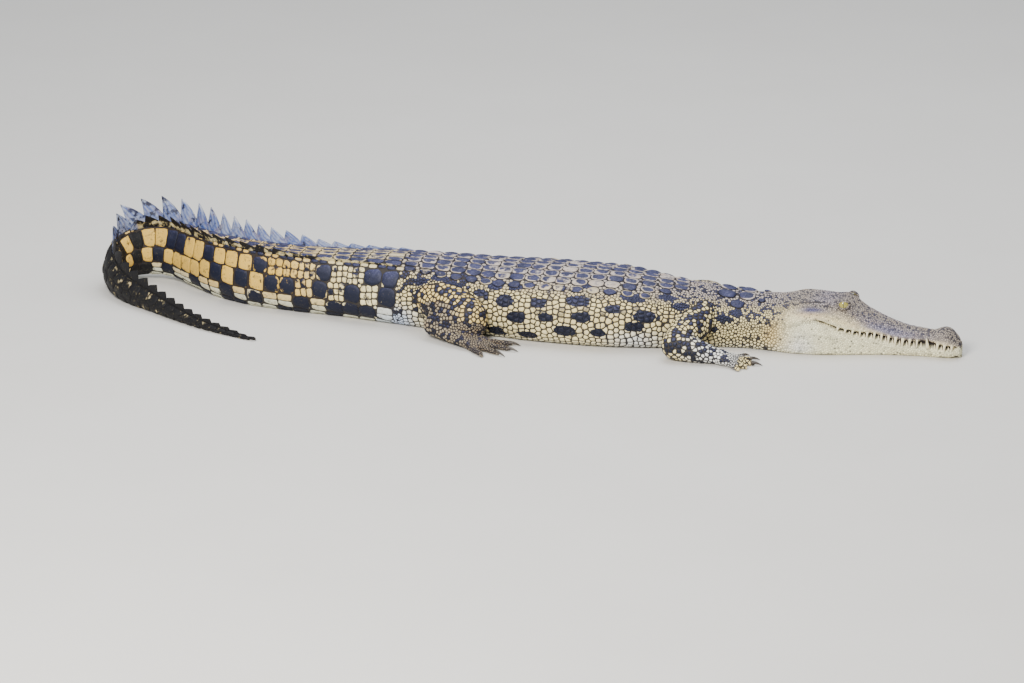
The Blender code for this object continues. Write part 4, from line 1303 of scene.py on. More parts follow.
def chart_places(seeds):
    """Where each scale's root lies on the unwrap of the hide."""
    along, share, side = seeds["along"], seeds["share"], seeds["side"]
    round_way = side * share * half_girth(along)
    u, v = np.zeros(len(along)), np.zeros(len(along))
    for start, left, middle, size in CHARTS:
        u = np.where(along >= start, left + (along - start) * size, u)
        v = np.where(along >= start, middle + round_way * size, v)
    on_limb = seeds["down"] >= 0
    number = seeds["limb"]
    joints = np.array([np.mean([np.array(joint) for joint in limb_joints(s, limb)], axis=0)
                       for s, limb in LIMBS])
    off = seeds["at"] - joints[number]
    turn = np.arctan2(seeds["out"][:, 2], np.sum(seeds["out"][:, :2] * off[:, :2], axis=1))
    left, middle = LIMB_CHART_PLACE
    limb_u = left + LIMB_CHART_STEP * number + seeds["down"] * LIMB_CHART_SIZE[0]
    limb_v = middle + turn / np.pi * LIMB_CHART_SIZE[1]
    return np.where(on_limb[:, None], np.stack([limb_u, limb_v], -1), np.stack([u, v], -1))


def dome_mesh(name, points, sides, levels):
    """A mesh of domes, each given as rings of points and a middle one; and its corners."""
    total, per = points.shape[:2]
    quads = [(k * sides + j, k * sides + (j + 1) % sides,
              (k + 1) * sides + (j + 1) % sides, (k + 1) * sides + j)
             for k, j in product(range(levels - 1), range(sides))]
    last = (levels - 1) * sides
    fans = [(last + j, last + (j + 1) % sides, per - 1) for j in range(sides)]
    step = (np.arange(total) * per)[:, None, None]
    quads, fans = ((np.array(faces) + step).ravel() for faces in (quads, fans))
    corners = np.concatenate((quads, fans))
    starts = np.concatenate((np.arange(0, len(quads), 4),
                             len(quads) + np.arange(0, len(fans), 3)))
    mesh = bpy.data.meshes.new(name)
    mesh.vertices.add(total * per)
    mesh.vertices.foreach_set("co", points.ravel())
    mesh.loops.add(len(corners))
    mesh.loops.foreach_set("vertex_index", corners)
    mesh.polygons.add(len(starts))
    mesh.polygons.foreach_set("loop_start", starts)
    mesh.update(calc_edges=True)
    mesh.shade_smooth()
    return mesh, corners


def make_scales(name, seeds, near, chosen, form, tree, colours, dark, oval):
    """One mesh of many scales: domes and keels that stand on the hide."""
    sides, rings = RINGS[form]
    way, reach, cross = scale_edges(seeds, near, chosen, sides)
    at, out, lay, rise, keel = (seeds[key][chosen] for key in ("at", "out", "lay", "rise", "keel"))
    half_long, half_wide = seeds["half_long"][chosen], seeds["half_wide"][chosen]
    total, per = len(chosen), len(rings) * sides + 1
    flat = np.zeros((total, per, 2))
    height = np.zeros((total, per))
    rim = np.zeros((total, per))
    for k, (share, high) in enumerate(rings):
        part = slice(k * sides, (k + 1) * sides)
        flat[:, part] = way * (reach * share)[:, :, None]
        height[:, part] = -0.0009 if high is None else rise[:, None] * high
        rim[:, part] = share
    height[:, -1] = rise
    spread = flat / np.stack([half_long, half_wide], -1)[:, None]
    x, y = spread[:, :, 0], spread[:, :, 1]
    ridge = np.clip(1 - np.abs(y) / 0.55, 0, 1) ** 1.3 * np.clip(1 - (x - 0.10) ** 2 / 1.05, 0, 1)
    height += keel[:, None] * ridge * (rim < 0.99)
    height += (rise * 0.22)[:, None] * x * (rim < 0.99)  # the hind edge stands a little up
    points = at[:, None] + lay[:, None] * flat[:, :, :1] + cross[:, None] * flat[:, :, 1:]
    if form == "grains":
        points = points + out[:, None] * height[:, :, None]
    else:
        base, normal, _ = set_down(tree, points.reshape(-1, 3), 0.02)
        lean = unit(normal.reshape(points.shape) + out[:, None] * 1.5)
        points = base.reshape(points.shape) + lean * height[:, :, None]
    points[:, :, 2] = np.maximum(points[:, :, 2], 0.0)

    mesh, corners = dome_mesh(name, points, sides, len(rings))
    root = chart_places({key: value[chosen] for key, value in seeds.items()})
    patch = root[:, None] + np.clip(spread, -1, 1) * PATCH / 2
    layer = mesh.uv_layers.new(name="OFBake")
    layer.data.foreach_set("uv", patch.reshape(-1, 2)[corners].ravel())

    inner = np.where(seeds["kind"][chosen] == SCUTE, 0.80, 1.0) + DRAW.uniform(-0.22, 0.10, total)
    inner = inner[:, None]
    shift = DRAW.uniform(-0.16, 0.16, (2, total, 1))
    edge = np.clip(np.hypot(x + shift[0], y + shift[1]), 0, 1.3)
    fade = 1 - oval[chosen][:, None] * smooth(inner, inner + 0.24, edge)
    marks = dark[chosen][:, None] * fade
    if form == "scales":
        marks = np.maximum(marks, spots_on(seeds, chosen, flat))
    inward = np.concatenate([reach * (1 - share) for share, _ in rings]
                            + [reach.mean(axis=1, keepdims=True)], axis=1)
    on_head = seeds["along"][chosen] < HEAD_END
    # the finish paints shade along each scale's rim, half as strong on the head
    soft = 1 - 0.5 * on_head[:, None]
    vary = 0.10 + 0.16 * on_head
    own = colours[chosen] * (1 + DRAW.uniform(-1.0, 0.6, total) * vary)[:, None]
    set_layers(mesh, np.repeat(own, per, axis=0), dark=marks.ravel(),
               rim=(np.clip(1 - inward / RIM[form], 0, 1) * soft).ravel(),
               blue=np.repeat(blueness(seeds, chosen), per),
               mottle=np.repeat(mottling(seeds, chosen), per))
    return new_object(name, mesh)


def spots_on(seeds, chosen, flat):
    """The flank's dark ovals at every point of the scales, so that their edges are round."""
    along = seeds["along"][chosen][:, None] + flat[:, :, 0]
    side = np.broadcast_to(seeds["side"][chosen][:, None], along.shape)
    girth = half_girth(along)
    share = seeds["share"][chosen][:, None] - side * flat[:, :, 1] / girth
    body = (along > 0.40) & (along < VENT) & (seeds["down"][chosen] < 0)[:, None]
    ragged = DRAW.uniform(-0.5, 0.5, (len(chosen), 1))
    value = spot_marks((along + ragged * 0.010).ravel(), share.ravel(), side.ravel())
    return value.reshape(along.shape) * body


def mottling(seeds, chosen):
    """How ragged and patchy the dark marks are."""
    kind, along = seeds["kind"][chosen], seeds["along"][chosen]
    mottle = np.select([kind == SCUTE, kind == BLOCK, kind == PLATE], [0.60, 0.75, 0.20], 0.12)
    mottle = np.where((kind == SCALE) & (seeds["dark"][chosen] == PINKISH), 0.9, mottle)
    return np.where(along > BLACK_FROM, 0.75, mottle)


def blueness(seeds, chosen):
    """How blue the dark marks are: partly their own blue-black, partly a painted sky reflection,
    stronger high on the body.
    """
    along = seeds["along"][chosen]
    high = smooth(2.8, 4.2, turn_of(along, seeds["share"][chosen]))
    blue = 0.45 + 0.45 * high - 0.12 * smooth(1.10, 1.35, along)
    blue = blue * (1 - 0.97 * smooth(1.60, 1.70, along))
    snout = 0.30 + 0.40 * hump(along, 0.140, 0.060)
    blue = np.where(along < HEAD_END, snout, blue)
    return np.where(seeds["down"][chosen] >= 0, 0.75, blue)


def set_layers(mesh, ground, **layers):
    """Gives a mesh the ground colour and the values that its finish reads."""
    for name, values in layers.items():
        layer = mesh.attributes.new(name, "FLOAT", "POINT")
        layer.data.foreach_set("value", np.ascontiguousarray(values, dtype=np.float32))
    layer = mesh.attributes.new("ground", "FLOAT_COLOR", "POINT")
    full = np.concatenate((ground, np.ones((len(ground), 1))), axis=1)
    layer.data.foreach_set("color", np.ascontiguousarray(full, dtype=np.float32).ravel())


# ---------------------------------------------------------------- eyes, teeth, claws and crest

LID_HALF_LONG, LID_HALF_HIGH = 0.0100, 0.0064
LID_POWER = 1.7  # 2 would be an oval opening, and 1 a lozenge
# The lid's section from its inner edge round: (height over the eyeball, degrees from the opening).
LID_RINGS = ((-0.0006, -2), (0.0005, -1.5), (0.0013, 2.5), (0.0012, 8), (0.0021, 17),
             (0.0019, 30), (0.0008, 46), (-0.0018, 64), (-0.0028, 40), (-0.0020, 12))


def eye_frame(side):
    """An eye's middle and its directions: the way it looks, forward, and up."""
    middle = point_at(EYE_AT, side * EYE_ACROSS, EYE_UP[side])
    forward = point_at(EYE_AT - 0.01, side * EYE_ACROSS, EYE_UP[side]) - middle
    forward.normalize()
    outward = Vector((-forward.y, forward.x, 0.0)) * side
    look = (outward + forward * 0.16 + Vector((0, 0, 0.10))).normalized()
    forward = (forward - look * forward.dot(look)).normalized()
    return middle, look, forward, forward.cross(look) * -side


def add_lids(bm, side):
    """A closed rim of skin round an eye, with an almond opening."""
    middle, look, forward, up = eye_frame(side)
    rows = []
    for k in range(45):
        angle = 2 * math.pi * k / 44
        x, y = math.cos(angle), math.sin(angle)
        open_reach = ((abs(x) / LID_HALF_LONG) ** LID_POWER
                      + (abs(y) / LID_HALF_HIGH) ** LID_POWER) ** (-1 / LID_POWER)
        opening = math.asin(min(open_reach / EYE_RADIUS, 0.97))
        row = []
        for lift, turn in LID_RINGS:
            tilt = min(opening + math.radians(turn), math.radians(118))
            way = look * math.cos(tilt) + (forward * x + up * y) * math.sin(tilt)
            row.append(tuple(middle + way * (EYE_RADIUS + lift)))
        rows.append(row + row[:1])
    add_sheet(bm, np.array(rows))


def open_sockets(mesh):
    """Moves the hide round each eye inward, behind the lids."""
    points = points_of(mesh)
    for side in (-1, 1):
        middle, look = (np.array(part) for part in eye_frame(side)[:2])
        away = points - middle
        reach = np.linalg.norm(away, axis=1)
        facing = away @ look / np.maximum(reach, 1e-6)
        share = smooth(0.10, 0.45, facing) * (reach < 0.020)
        inner = np.minimum(reach, EYE_RADIUS - 0.0012)
        moved = middle + away * (inner / np.maximum(reach, 1e-6))[:, None]
        points = points + (moved - points) * share[:, None]
    set_points(mesh, points)


def join_lids(hide):
    """Adds the lids of both eyes to the hide."""
    bm = bmesh.new()
    for side in (-1, 1):
        add_lids(bm, side)
    lids = finished("lids", bm)
    bm = bmesh.new()
    bm.from_mesh(hide.data)
    bm.from_mesh(lids.data)
    bm.to_mesh(hide.data)
    bm.free()
    bpy.data.objects.remove(lids, do_unlink=True)
    hide.data.shade_smooth()


def make_eyeball(name, side):
    """An eyeball whose map shows where each point lies before the eye's gaze."""
    middle, look, forward, up = eye_frame(side)
    bm = bmesh.new()
    bmesh.ops.create_uvsphere(bm, u_segments=40, v_segments=28, radius=EYE_RADIUS)
    layer = bm.loops.layers.uv.new("gaze")
    for loop in (loop for face in bm.faces for loop in face.loops):
        x, y, z = loop.vert.co
        front = (0.5 + x / EYE_RADIUS / 2, 0.5 + y / EYE_RADIUS / 2)
        loop[layer].uv = (0.0, 0.0) if z < 0 else front
    for vert in bm.verts:
        x, y, z = vert.co
        vert.co = middle + forward * x + up * y + look * z
    return finished(name, bm)


def add_cone(bm, root, tip, radius, bend, sides=8, flat=1.0, sharpen=0.62):
    """A curved, pointed cone; flat narrows it across its bend."""
    way = tip - root
    across = bend.normalized()
    turned = way.to_track_quat("Z", "Y").to_matrix()
    rings = []
    for share in (0.0, 0.22, 0.45, 0.66, 0.84, 0.95):
        middle = root + way * share + bend * (4 * share * (1 - share))
        size = radius * (1 - share) ** sharpen
        ring = []
        for k in range(sides):
            angle = 2 * math.pi * k / sides
            step = turned @ Vector((math.cos(angle), math.sin(angle), 0)) * size
            ring.append(middle + step - across * step.dot(across) * (1 - flat))
        rings.append(ring)
    rows = closed_rows(rings)
    rows[-1] = np.array(tip)
    add_sheet(bm, rows)


def tooth_size(along):
    """How large a tooth is: greatest in the jaw's two swellings."""
    swell = math.exp(-((along - 0.112) / 0.030) ** 2) + math.exp(-((along - 0.032) / 0.014) ** 2)
    return 0.55 + 0.45 * min(swell, 1.0)


def gum(along, side):
    """At a tooth: the jaw's half width, the lips' line and half opening, and the way outward."""
    out = point_at(along, side * 1.0, 0.0) - point_at(along, 0.0, 0.0)
    half, line, gap = through(HALF_WIDTH, along), lip_line(along), lip_gap(along)
    return float(half), float(line), float(gap), out


def make_teeth():
    """The upper teeth, the lower ones between them, and the great tooth in the notch."""
    bm = bmesh.new()
    for side in (-1, 1):
        for k in range(UPPER_TEETH):
            along = FIRST_TOOTH + TOOTH_SPACING * k
            if abs(along - NOTCH_AT) < 0.009:
                continue
            half, line, gap, out = gum(along, side)
            size = tooth_size(along) * (0.92 + 0.16 * ((k * 5 + side) % 4) / 3)
            root = point_at(along, side * (half - 0.0030), line + gap + 0.0016)
            tip = point_at(along + 0.0010, side * (half + 0.0002), line - gap - 0.0026 * size)
            add_cone(bm, root, tip, 0.0013 + 0.0026 * size, out * 0.0010, 10, 0.5, 0.84)
        for k in range(LOWER_TEETH):
            great = k == 3
            along = NOTCH_AT if great else FIRST_TOOTH + TOOTH_SPACING * (k + 0.5)
            half, line, gap, out = gum(along, side)
            if great:
                root = point_at(along - 0.001, side * (half - 0.0002), line - 0.0080)
                tip = point_at(along + 0.001, side * (half + 0.0030), line + 0.0135)
                add_cone(bm, root, tip, 0.0042, out * 0.0012, 10, 0.7)
                continue
            inset = float(jaw_inset(along))
            root = point_at(along, side * (half - inset - 0.0030), line - gap - 0.0020)
            tip = point_at(along, side * (half - inset - 0.0012), line + 0.35 * gap)
            add_cone(bm, root, tip, 0.0026, out * 0.0005, 10, 0.5, 0.80)
    return finished("teeth", bm)


def make_claws():
    """Claws on the inner toes of each hand and foot."""
    bm = bmesh.new()
    for side, limb in LIMBS:
        for number, (root, ahead, length, thick) in enumerate(toe_lines(side, limb)):
            if number >= limb["clawed"]:
                continue
            start = root + ahead * length * 0.84
            start.z = thick * 0.62
            tip = root + ahead * (length + 0.0155)
            tip.z = 0.0014
            add_cone(bm, start, tip, thick * 0.34, Vector((0, 0, 0.0022)), sides=10)
    return finished("claws", bm)


BLADE_LEVELS = (0.0, 0.10, 0.26, 0.44, 0.62, 0.78, 0.90, 0.97)
BLADE_AROUND = 20


def add_blade(bm, start, end, side, single):
    """One scute of the tail's crest: a thin leaning blade, broad at its root."""
    length = end - start
    tip_at = start + length * 0.86
    height = float(through(CREST_HEIGHT, tip_at)) * DRAW.uniform(0.94, 1.03)
    height *= 1.0 if single else CREST_SHARE[side]
    tip_at += height * CREST_LEAN
    thick = 0.0010 + 0.058 * height
    rows = []
    levels = (-0.0040,) + tuple(height * level for level in BLADE_LEVELS)
    for level in levels:
        share = max(level / height, 0.0)
        front = start - length * 0.16 + (tip_at - start + length * 0.16) * share ** 1.5
        back = end + length * 0.16 + (tip_at - end - length * 0.16) * share ** 2.2
        half = max((back - front) / 2, 0.0007) * (1 if share < 0.95 else 0.8)
        middle = (front + back) / 2
        wide = thick * (1 - share) ** 0.75 + 0.00030
        ring = []
        for k in range(BLADE_AROUND):
            angle = 2 * math.pi * k / BLADE_AROUND
            x = math.cos(angle)
            y = math.copysign(abs(math.sin(angle)) ** 1.2, math.sin(angle))
            y *= 1 + 0.16 * math.cos(5 * math.pi * x) * (share > 0)
            along = min(middle + half * x, LENGTH - 0.0005)
            if single:
                across, up = 0.0, float(through(CROWN_HEIGHT, along))
            else:
                edge = outline(along, np.array([5.0]))
                across, up = float(edge[0][0, 0]), float(edge[1][0, 0])
            up += float(through(LIFT, along)) + level
            flare = 0.0 if single else CREST_FLARE[side]
            across = across + flare * height * share ** 1.2 + wide * y
            ring.append(tuple(place(along, side * across, up)))
        rows.append(ring)
    add_sheet(bm, closed_rows(rows))


def make_crest():
    """The tail's crest: pale blue and striped inside, a painted sky reflection, and black near the
    tip.
    """
    bm = bmesh.new()
    for start, end in zip(WHORLS, WHORLS[1:]):
        single = start >= CREST_JOINS - 0.001
        margin = (end - start) * 0.05
        for side in ((1,) if single else (-1, 1)):
            add_blade(bm, start + margin, end - margin * 0.5, side, single)
    crest = finished("crest", bm)
    mesh = crest.data
    points, normals = points_of(mesh), numbers_of(mesh.vertex_normals, "vector")
    nearest = np.array([np.argmin(np.hypot(LINE_X - p[0], LINE_Y - p[1])) for p in points])
    along = ALONG[nearest]
    over = points[:, 2] - through(CROWN_HEIGHT, along) - through(LIFT, along)
    high = np.clip(over / through(CREST_HEIGHT, along), 0, 1.1)
    out = np.stack([points[:, 0] - LINE_X[nearest], points[:, 1] - LINE_Y[nearest]], -1)
    inner = np.sum(out * normals[:, :2], axis=1) < 0
    single = along > CREST_JOINS - 0.01
    number = np.searchsorted(WHORLS, along - 0.004 - high * 0.008)
    pale = np.array([0.04, 0.24, 0.14, 0.04, 0.26, 0.10, 0.20])[(number * 3) % 7]
    stripes = 0.5 + 0.5 * np.sin((along + 0.35 * over) * 760.0 + 4.0 * np.sin(number * 7.0))
    pale = np.clip(pale + 0.55 * (stripes - 0.45) + 0.30 * (high > 0.75), 0, 1)
    # painted reflection: the inner faces' ground runs from sky blue to white, whiter at the tips,
    # as if they mirrored the sky
    sky = blend(tint(66, 88, 150), tint(214, 220, 226), pale)
    single &= along > CREST_BLUE_TO
    inner |= (along > CREST_JOINS - 0.01) & ~single
    inner &= ~single
    dark = np.where(single, 0.93 - 0.25 * (high > 0.8), 0.52 + 0.45 * (high > 0.20))
    dark = np.where(inner, np.where(along > 1.60, 0.35, 0.16), dark)
    # the outer faces' ground is straw dulled a quarter towards near-black
    ground = np.where(inner[:, None], sky, blend(STRAW, SHADE_BLACK, 0.25))
    ground = np.where(single[:, None], blend(STRAW, MUD, 0.4), ground)
    # inner faces get a high blue, so the finish lays its painted sky reflection on them too
    set_layers(mesh, ground, dark=dark, rim=np.full(len(along), 0.24),
               blue=np.where(inner, 0.8, 0.05),
               mottle=np.select([single, inner], [0.25, 0.85], 0.8))
    return crest


# ---------------------------------------------------------------- finishes

class Socket:
    """A value in a finish, so that sums of values are written as sums."""

    def __init__(self, finish, output):
        self.finish, self.output = finish, output

    def reckon(self, operation, *values):
        inputs = dict(enumerate(values))
        return self.finish.node("ShaderNodeMath", {"operation": operation}, inputs)

    def __add__(self, other):
        return self.reckon("ADD", self, other)

    def __sub__(self, other):
        return self.reckon("SUBTRACT", self, other)

    def __rsub__(self, other):
        return self.reckon("SUBTRACT", other, self)

    def __mul__(self, other):
        return self.reckon("MULTIPLY", self, other)

    def __pow__(self, other):
        return self.reckon("POWER", self, other)

    def above(self, low, high):
        """0 below low, 1 above high."""
        return self.finish.node("ShaderNodeMapRange", {"interpolation_type": "SMOOTHSTEP"},
                                {"Value": self, "From Min": low, "From Max": high})

    __radd__ = __add__


class Finish:
    """A material built from nodes."""

    def __init__(self, name):
        self.made = bpy.data.materials.new(name)
        self.made.use_nodes = True
        self.tree = self.made.node_tree
        self.shader = self.tree.nodes["Principled BSDF"]

    def node(self, kind, settings=None, inputs=None, output=0):
        node = self.tree.nodes.new(kind)
        for key, value in (settings or {}).items():
            setattr(node, key, value)
        for key, value in (inputs or {}).items():
            self.give(node.inputs[key], value)
        return Socket(self, node.outputs[output])

    def give(self, target, value):
        if isinstance(value, Socket):
            self.tree.links.new(value.output, target)
        elif target.type == "RGBA":
            target.default_value = (*value, 1.0)
        else:
            target.default_value = value

    def mix(self, low, high, share):
        """A colour between two colours."""
        node = self.tree.nodes.new("ShaderNodeMix")
        node.data_type = "RGBA"
        for key, value in ((0, share), (6, low), (7, high)):
            self.give(node.inputs[key], value)
        return Socket(self, node.outputs[2])

    def attribute(self, name, output="Fac"):
        return self.node("ShaderNodeAttribute", {"attribute_name": name}, output=output)

    def grain(self, scale, detail=4.0, rough=0.55):
        """Noise over the object's own place."""
        place_on = self.node("ShaderNodeTexCoord", output="Object")
        return self.node("ShaderNodeTexNoise", inputs={
            "Vector": place_on, "Scale": scale, "Detail": detail, "Roughness": rough})

    def set(self, **values):
        for key, value in values.items():
            self.give(self.shader.inputs[key.replace("_", " ")], value)

    def bump(self, height, strength, distance):
        self.set(Normal=self.node("ShaderNodeBump", inputs={
            "Height": height, "Strength": strength, "Distance": distance}))


def hide_finish(name, coat=True):
    """Scaly skin: pale ground, blue-black marks, painted shade at scale edges, a painted sky sheen
    and a damp gloss.
    """
    finish = Finish(name)
    ground = finish.attribute("ground", "Color")
    dark = finish.attribute("dark")
    rim = finish.attribute("rim")
    blue = finish.attribute("blue")
    mottle = finish.attribute("mottle")
    fine = finish.grain(900.0, 3.0)
    broad = finish.grain(55.0, 3.0)
    streak = finish.grain(330.0, 4.0, 0.6)
    if coat:
        ground = finish.mix(ground, tint(128, 100, 66), fine.above(0.54, 0.76) * 0.45)
        ground = finish.mix(ground, tint(250, 246, 232), streak.above(0.56, 0.80) * 0.35)
        ground = finish.mix(ground, tint(176, 132, 72), broad.above(0.50, 0.72) * 0.20)
        flecks = finish.grain(190.0, 2.0)
        ground = finish.mix(ground, tint(92, 70, 52), flecks.above(0.60, 0.68) * 0.55)
    # painted reflection: dark marks that face up are tinted slate blue, as if they mirrored the
    # sky, as far as their blue allows
    upward = finish.node("ShaderNodeSeparateXYZ", inputs={
        0: finish.node("ShaderNodeNewGeometry", output="Normal")}, output=2)
    painted_sheen = (upward.above(0.05, 0.95) * (broad.above(0.35, 0.65) * 0.55 + 0.45))
    ink = finish.mix(BLACK, BLUE_BLACK, blue.above(0.0, 0.4))
    ink = finish.mix(ink, SLATE, painted_sheen * blue * 0.48)
    # painted highlight: paler blue-grey streaks within that reflection
    ink = finish.mix(ink, tint(136, 140, 170), streak.above(0.44, 0.72) * painted_sheen * blue * 0.30)
    ink = finish.mix(ink, tint(132, 118, 76), streak.above(0.60, 0.72) * (1 - blue) * 0.45)
    patchy = (finish.grain(75.0, 3.0) - 0.5) * mottle * 2.6
    mark = (dark + (fine - 0.5) * 0.35 + (streak - 0.5) * 0.30 + patchy).above(0.30, 0.62)
    colour = finish.mix(ground, ink, mark)
    # painted shade: each scale's rim, where it dips into the furrow, darkened towards the shade
    # black
    colour = finish.mix(colour, SHADE_BLACK * 0.6, rim.above(0.12, 0.62) * (0.90 if coat else 0.0))
    finish.set(Base_Color=colour, Specular_IOR_Level=0.32, IOR=1.45)
    finish.set(Roughness=0.40 + fine * 0.24 + (1 - blue) * 0.12)
    finish.bump(fine * 0.5 + streak * 0.5, 0.35, 0.0006)
    return finish.made


def tooth_finish():
    finish = Finish("tooth")
    fine = finish.grain(400.0)
    colour = finish.mix(tint(240, 228, 192), tint(206, 184, 134), fine.above(0.45, 0.75) * 0.7)
    finish.set(Base_Color=colour, Roughness=0.28 + fine * 0.15)
    finish.bump(fine, 0.2, 0.0003)
    return finish.made


def claw_finish():
    finish = Finish("claw")
    fine = finish.grain(500.0)
    colour = finish.mix(tint(52, 46, 42), tint(120, 108, 92), fine.above(0.45, 0.8))
    finish.set(Base_Color=colour, Roughness=0.32 + fine * 0.2)
    finish.bump(fine, 0.3, 0.0003)
    return finish.made


def eye_finish():
    """A yellow-olive iris with fine spokes, a dark rim and an upright slit."""
    finish = Finish("eye")
    place_on = finish.node("ShaderNodeUVMap", {"uv_map": "gaze"})
    x = finish.node("ShaderNodeSeparateXYZ", inputs={0: place_on}, output=0) - 0.5
    y = finish.node("ShaderNodeSeparateXYZ", inputs={0: place_on}, output=1) - 0.5
    reach = (x * x + y * y) ** 0.5
    angle = finish.node("ShaderNodeMath", {"operation": "ARCTAN2"}, {0: y, 1: x})
    spokes = finish.node("ShaderNodeTexNoise", {"noise_dimensions": "2D"}, {
        "Vector": finish.node("ShaderNodeCombineXYZ", inputs={0: angle * 6.0, 1: reach * 4.0}),
        "Scale": 2.2, "Detail": 4.0})
    iris = finish.mix(tint(128, 118, 40), tint(190, 178, 84), spokes.above(0.35, 0.65))
    iris = finish.mix(iris, tint(84, 74, 30), reach.above(0.30, 0.46))
    slit = 1 - (x * x * 620.0 + y * y * 9.0).above(0.55, 0.95)
    colour = finish.mix(iris, tint(8, 8, 8), slit)
    finish.set(Base_Color=colour, Roughness=0.10, Coat_Weight=1.0, Coat_Roughness=0.03)
    return finish.made


def floor_finish():
    finish = Finish("floor")
    fine = finish.grain(3.0)
    finish.set(Base_Color=finish.mix(tint(214, 210, 204), tint(222, 219, 213), fine),
               Roughness=0.9)
    return finish.made


# ---------------------------------------------------------------- the whole model

def dress(obj, finish):
    """Gives an object its one finish."""
    obj.data.materials.clear()
    obj.data.materials.append(finish)


def mark_hide(hide, body_map):
    """Gives the hide the same markings as the scales that stand on it, and painted shade in its
    furrows, creases, folds, mouth groove and eye sockets.
    """
    points = points_of(hide.data)
    where = body_map.locate(points)
    _, _, down, _ = limb_places(points)
    _, on_limb = spacing(where, down)
    down = np.where(on_limb, down, -1.0)
    ground = ground_colours(where, on_limb, np.maximum(down, 0))
    turn = turn_of(where["along"], where["share"])
    # painted shade: how far the hide is darkened towards near-black where it shows in the furrows
    # between scales
    furrow = 0.30 + 0.40 * smooth(3.4, 4.4, turn)
    furrow = furrow + (0.98 - furrow) * smooth(0.30, 0.38, where["along"])
    furrow = np.where((turn < 1.2) & (where["along"] > 0.38), 0.70, furrow)
    mouth = in_mouth(points, where["along"], 0.0018)
    for eye in EYES:
        mouth |= np.linalg.norm(points - eye, axis=1) < EYE_RADIUS + 0.0004
    ground = blend(ground, SHADE_BLACK, furrow)
    # painted shade: the groove between the lips and the sunken hide round the eyes are near-black
    ground = np.where(mouth[:, None], tint(38, 28, 26), ground)
    # painted shade in the ear's slit, the furrow behind the eye and the cheek fold
    ground = blend(ground, tint(34, 28, 28), creases(where["along"], turn) * ~on_limb)
    ground = blend(ground, SHADE_BLACK, 0.6 * cheek_fold(where["along"], turn) * ~on_limb)
    spots = spot_marks(where["along"], where["share"], where["side"]) * ~on_limb * 0.8
    dark = np.where(mouth, 0.0, spots)
    dark = np.where((where["along"] > BLACK_FROM) & ~on_limb, 0.9, dark)
    blue = 0.3 * (1 - smooth(1.60, 1.70, where["along"]))
    set_layers(hide.data, ground, dark=dark, rim=np.zeros(len(points)), blue=blue)


def make_coat(hide, body_map):
    """All the scales, in a few pieces."""
    tree = bvhtree.BVHTree.FromObject(hide, bpy.context.evaluated_depsgraph_get())
    rows = structured_scales(tree)
    rows["limb"] = np.zeros(len(rows["at"]), int)
    loose = scattered_scales(hide, body_map, rows)
    seeds = {key: np.concatenate((rows[key], loose[key])) for key in loose}
    where = {"along": seeds["along"], "share": seeds["share"]}
    on_limb = seeds["down"] >= 0
    colours = ground_colours(where, on_limb, np.maximum(seeds["down"], 0))
    dark, oval = dark_marks(seeds)
    near = nearest_seeds(seeds["at"], 16)
    kind, right = seeds["kind"], seeds["side"] < 0
    groups = {
        "back_scutes": ("plates", kind == SCUTE),
        "tail_blocks": ("plates", (kind == BLOCK) | (kind == PLATE)),
        "right_scales": ("scales", (kind == SCALE) & right),
        "left_scales": ("scales", (kind == SCALE) & ~right),
        "right_small_scales": ("grains", (kind == GRAIN) & right),
        "left_small_scales": ("grains", (kind == GRAIN) & ~right),
    }
    pieces = []
    for name, (form, chosen) in groups.items():
        chosen = np.flatnonzero(chosen)
        piece = make_scales(name, seeds, near, chosen, form, tree, colours, dark, oval)
        piece.data.validate()
        pieces.append(piece)
    return pieces


CAMERA_LENS, CAMERA_AWAY, CAMERA_DIP = 255.4, 14.0, 18.0  # millimetres, metres and degrees


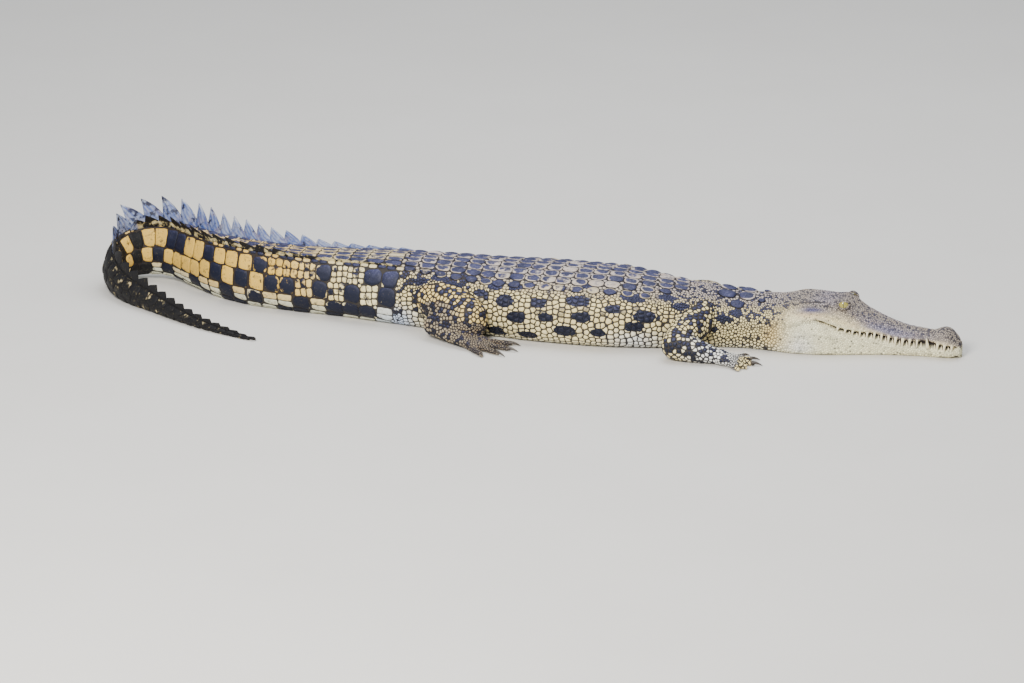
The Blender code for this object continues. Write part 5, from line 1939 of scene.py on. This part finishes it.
def light_and_camera():
    """A pale floor, a sunlike key light, a soft light from above, and a long lens."""
    floor = bpy.data.meshes.new("floor")
    bm = bmesh.new()
    bmesh.ops.create_grid(bm, x_segments=1, y_segments=1, size=12.0)
    bm.to_mesh(floor)
    bm.free()
    floor = new_object("floor", floor)
    dress(floor, floor_finish())

    world = bpy.data.worlds.new("studio")
    bpy.context.scene.world = world
    world.use_nodes = True
    sky = world.node_tree.nodes["Background"]
    sky.inputs["Color"].default_value = (0.86, 0.91, 1.0, 1.0)
    sky.inputs["Strength"].default_value = 0.52
    for name, at, size, power, colour in (
            ("key", (-1.4, -3.7, 2.9), 1.8, 318.0, (1.0, 0.98, 0.94)),
            ("top", (0.4, 0.6, 3.4), 3.2, 110.0, (0.92, 0.96, 1.0))):
        light = bpy.data.lights.new(name, "AREA")
        light.shape, light.size, light.energy, light.color = "DISK", size, power, colour
        lamp = new_object(name, light)
        lamp.location = at
        beam = Vector((0, 0, 0.05)) - Vector(at)
        lamp.rotation_euler = beam.to_track_quat("-Z", "Y").to_euler()

    tilt = math.radians(CAMERA_DIP)
    up = Vector((0, math.sin(tilt), math.cos(tilt)))
    ahead = Vector((0, math.cos(tilt), -math.sin(tilt)))
    aim = Vector((-0.0405 - MIDDLE_OF_BOX[0], -MIDDLE_OF_BOX[1], 0.0)) - up * 0.0445
    lens = bpy.data.cameras.new("camera")
    lens.lens, lens.sensor_width, lens.clip_end = CAMERA_LENS, 36.0, 100.0
    camera = new_object("camera", lens)
    camera.location = aim - ahead * CAMERA_AWAY
    camera.rotation_euler = (math.pi / 2 - tilt, 0, 0)
    bpy.context.scene.camera = camera


FLESH = ["head", "lower_jaw", "neck", "trunk"] + [f"tail_{k}" for k in range(1, 7)]
FLESH += [f"{side}_{part}" for side in ("right", "left")
          for part in ("upper_arm", "forearm", "hand", "thigh", "shank", "foot")]


def main():
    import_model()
    light_and_camera()
    body_map = BodyMap()
    hide = make_hide()
    open_sockets(hide.data)
    join_lids(hide)
    coat = make_coat(hide, body_map)
    mark_hide(hide, body_map)

    dress(hide, hide_finish("hide", coat=False))
    scale_finish = hide_finish("scales")
    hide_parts(*FLESH)
    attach(hide, "root")
    for piece in coat:
        dress(piece, scale_finish)
        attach(piece, "root")
    crest = make_crest()
    dress(crest, scale_finish)
    teeth, claws = make_teeth(), make_claws()
    dress(teeth, tooth_finish())
    dress(claws, claw_finish())
    for piece, slot in ((crest, "tail_hide"), (teeth, "jaw_hide"), (claws, "limb_hide")):
        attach(piece, "root")
    for side, node in ((-1, "right_eye"), (1, "left_eye")):
        ball = make_eyeball(node + "ball", side)
        dress(ball, eye_finish())
        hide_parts(node)
        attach(ball, "root")


main()
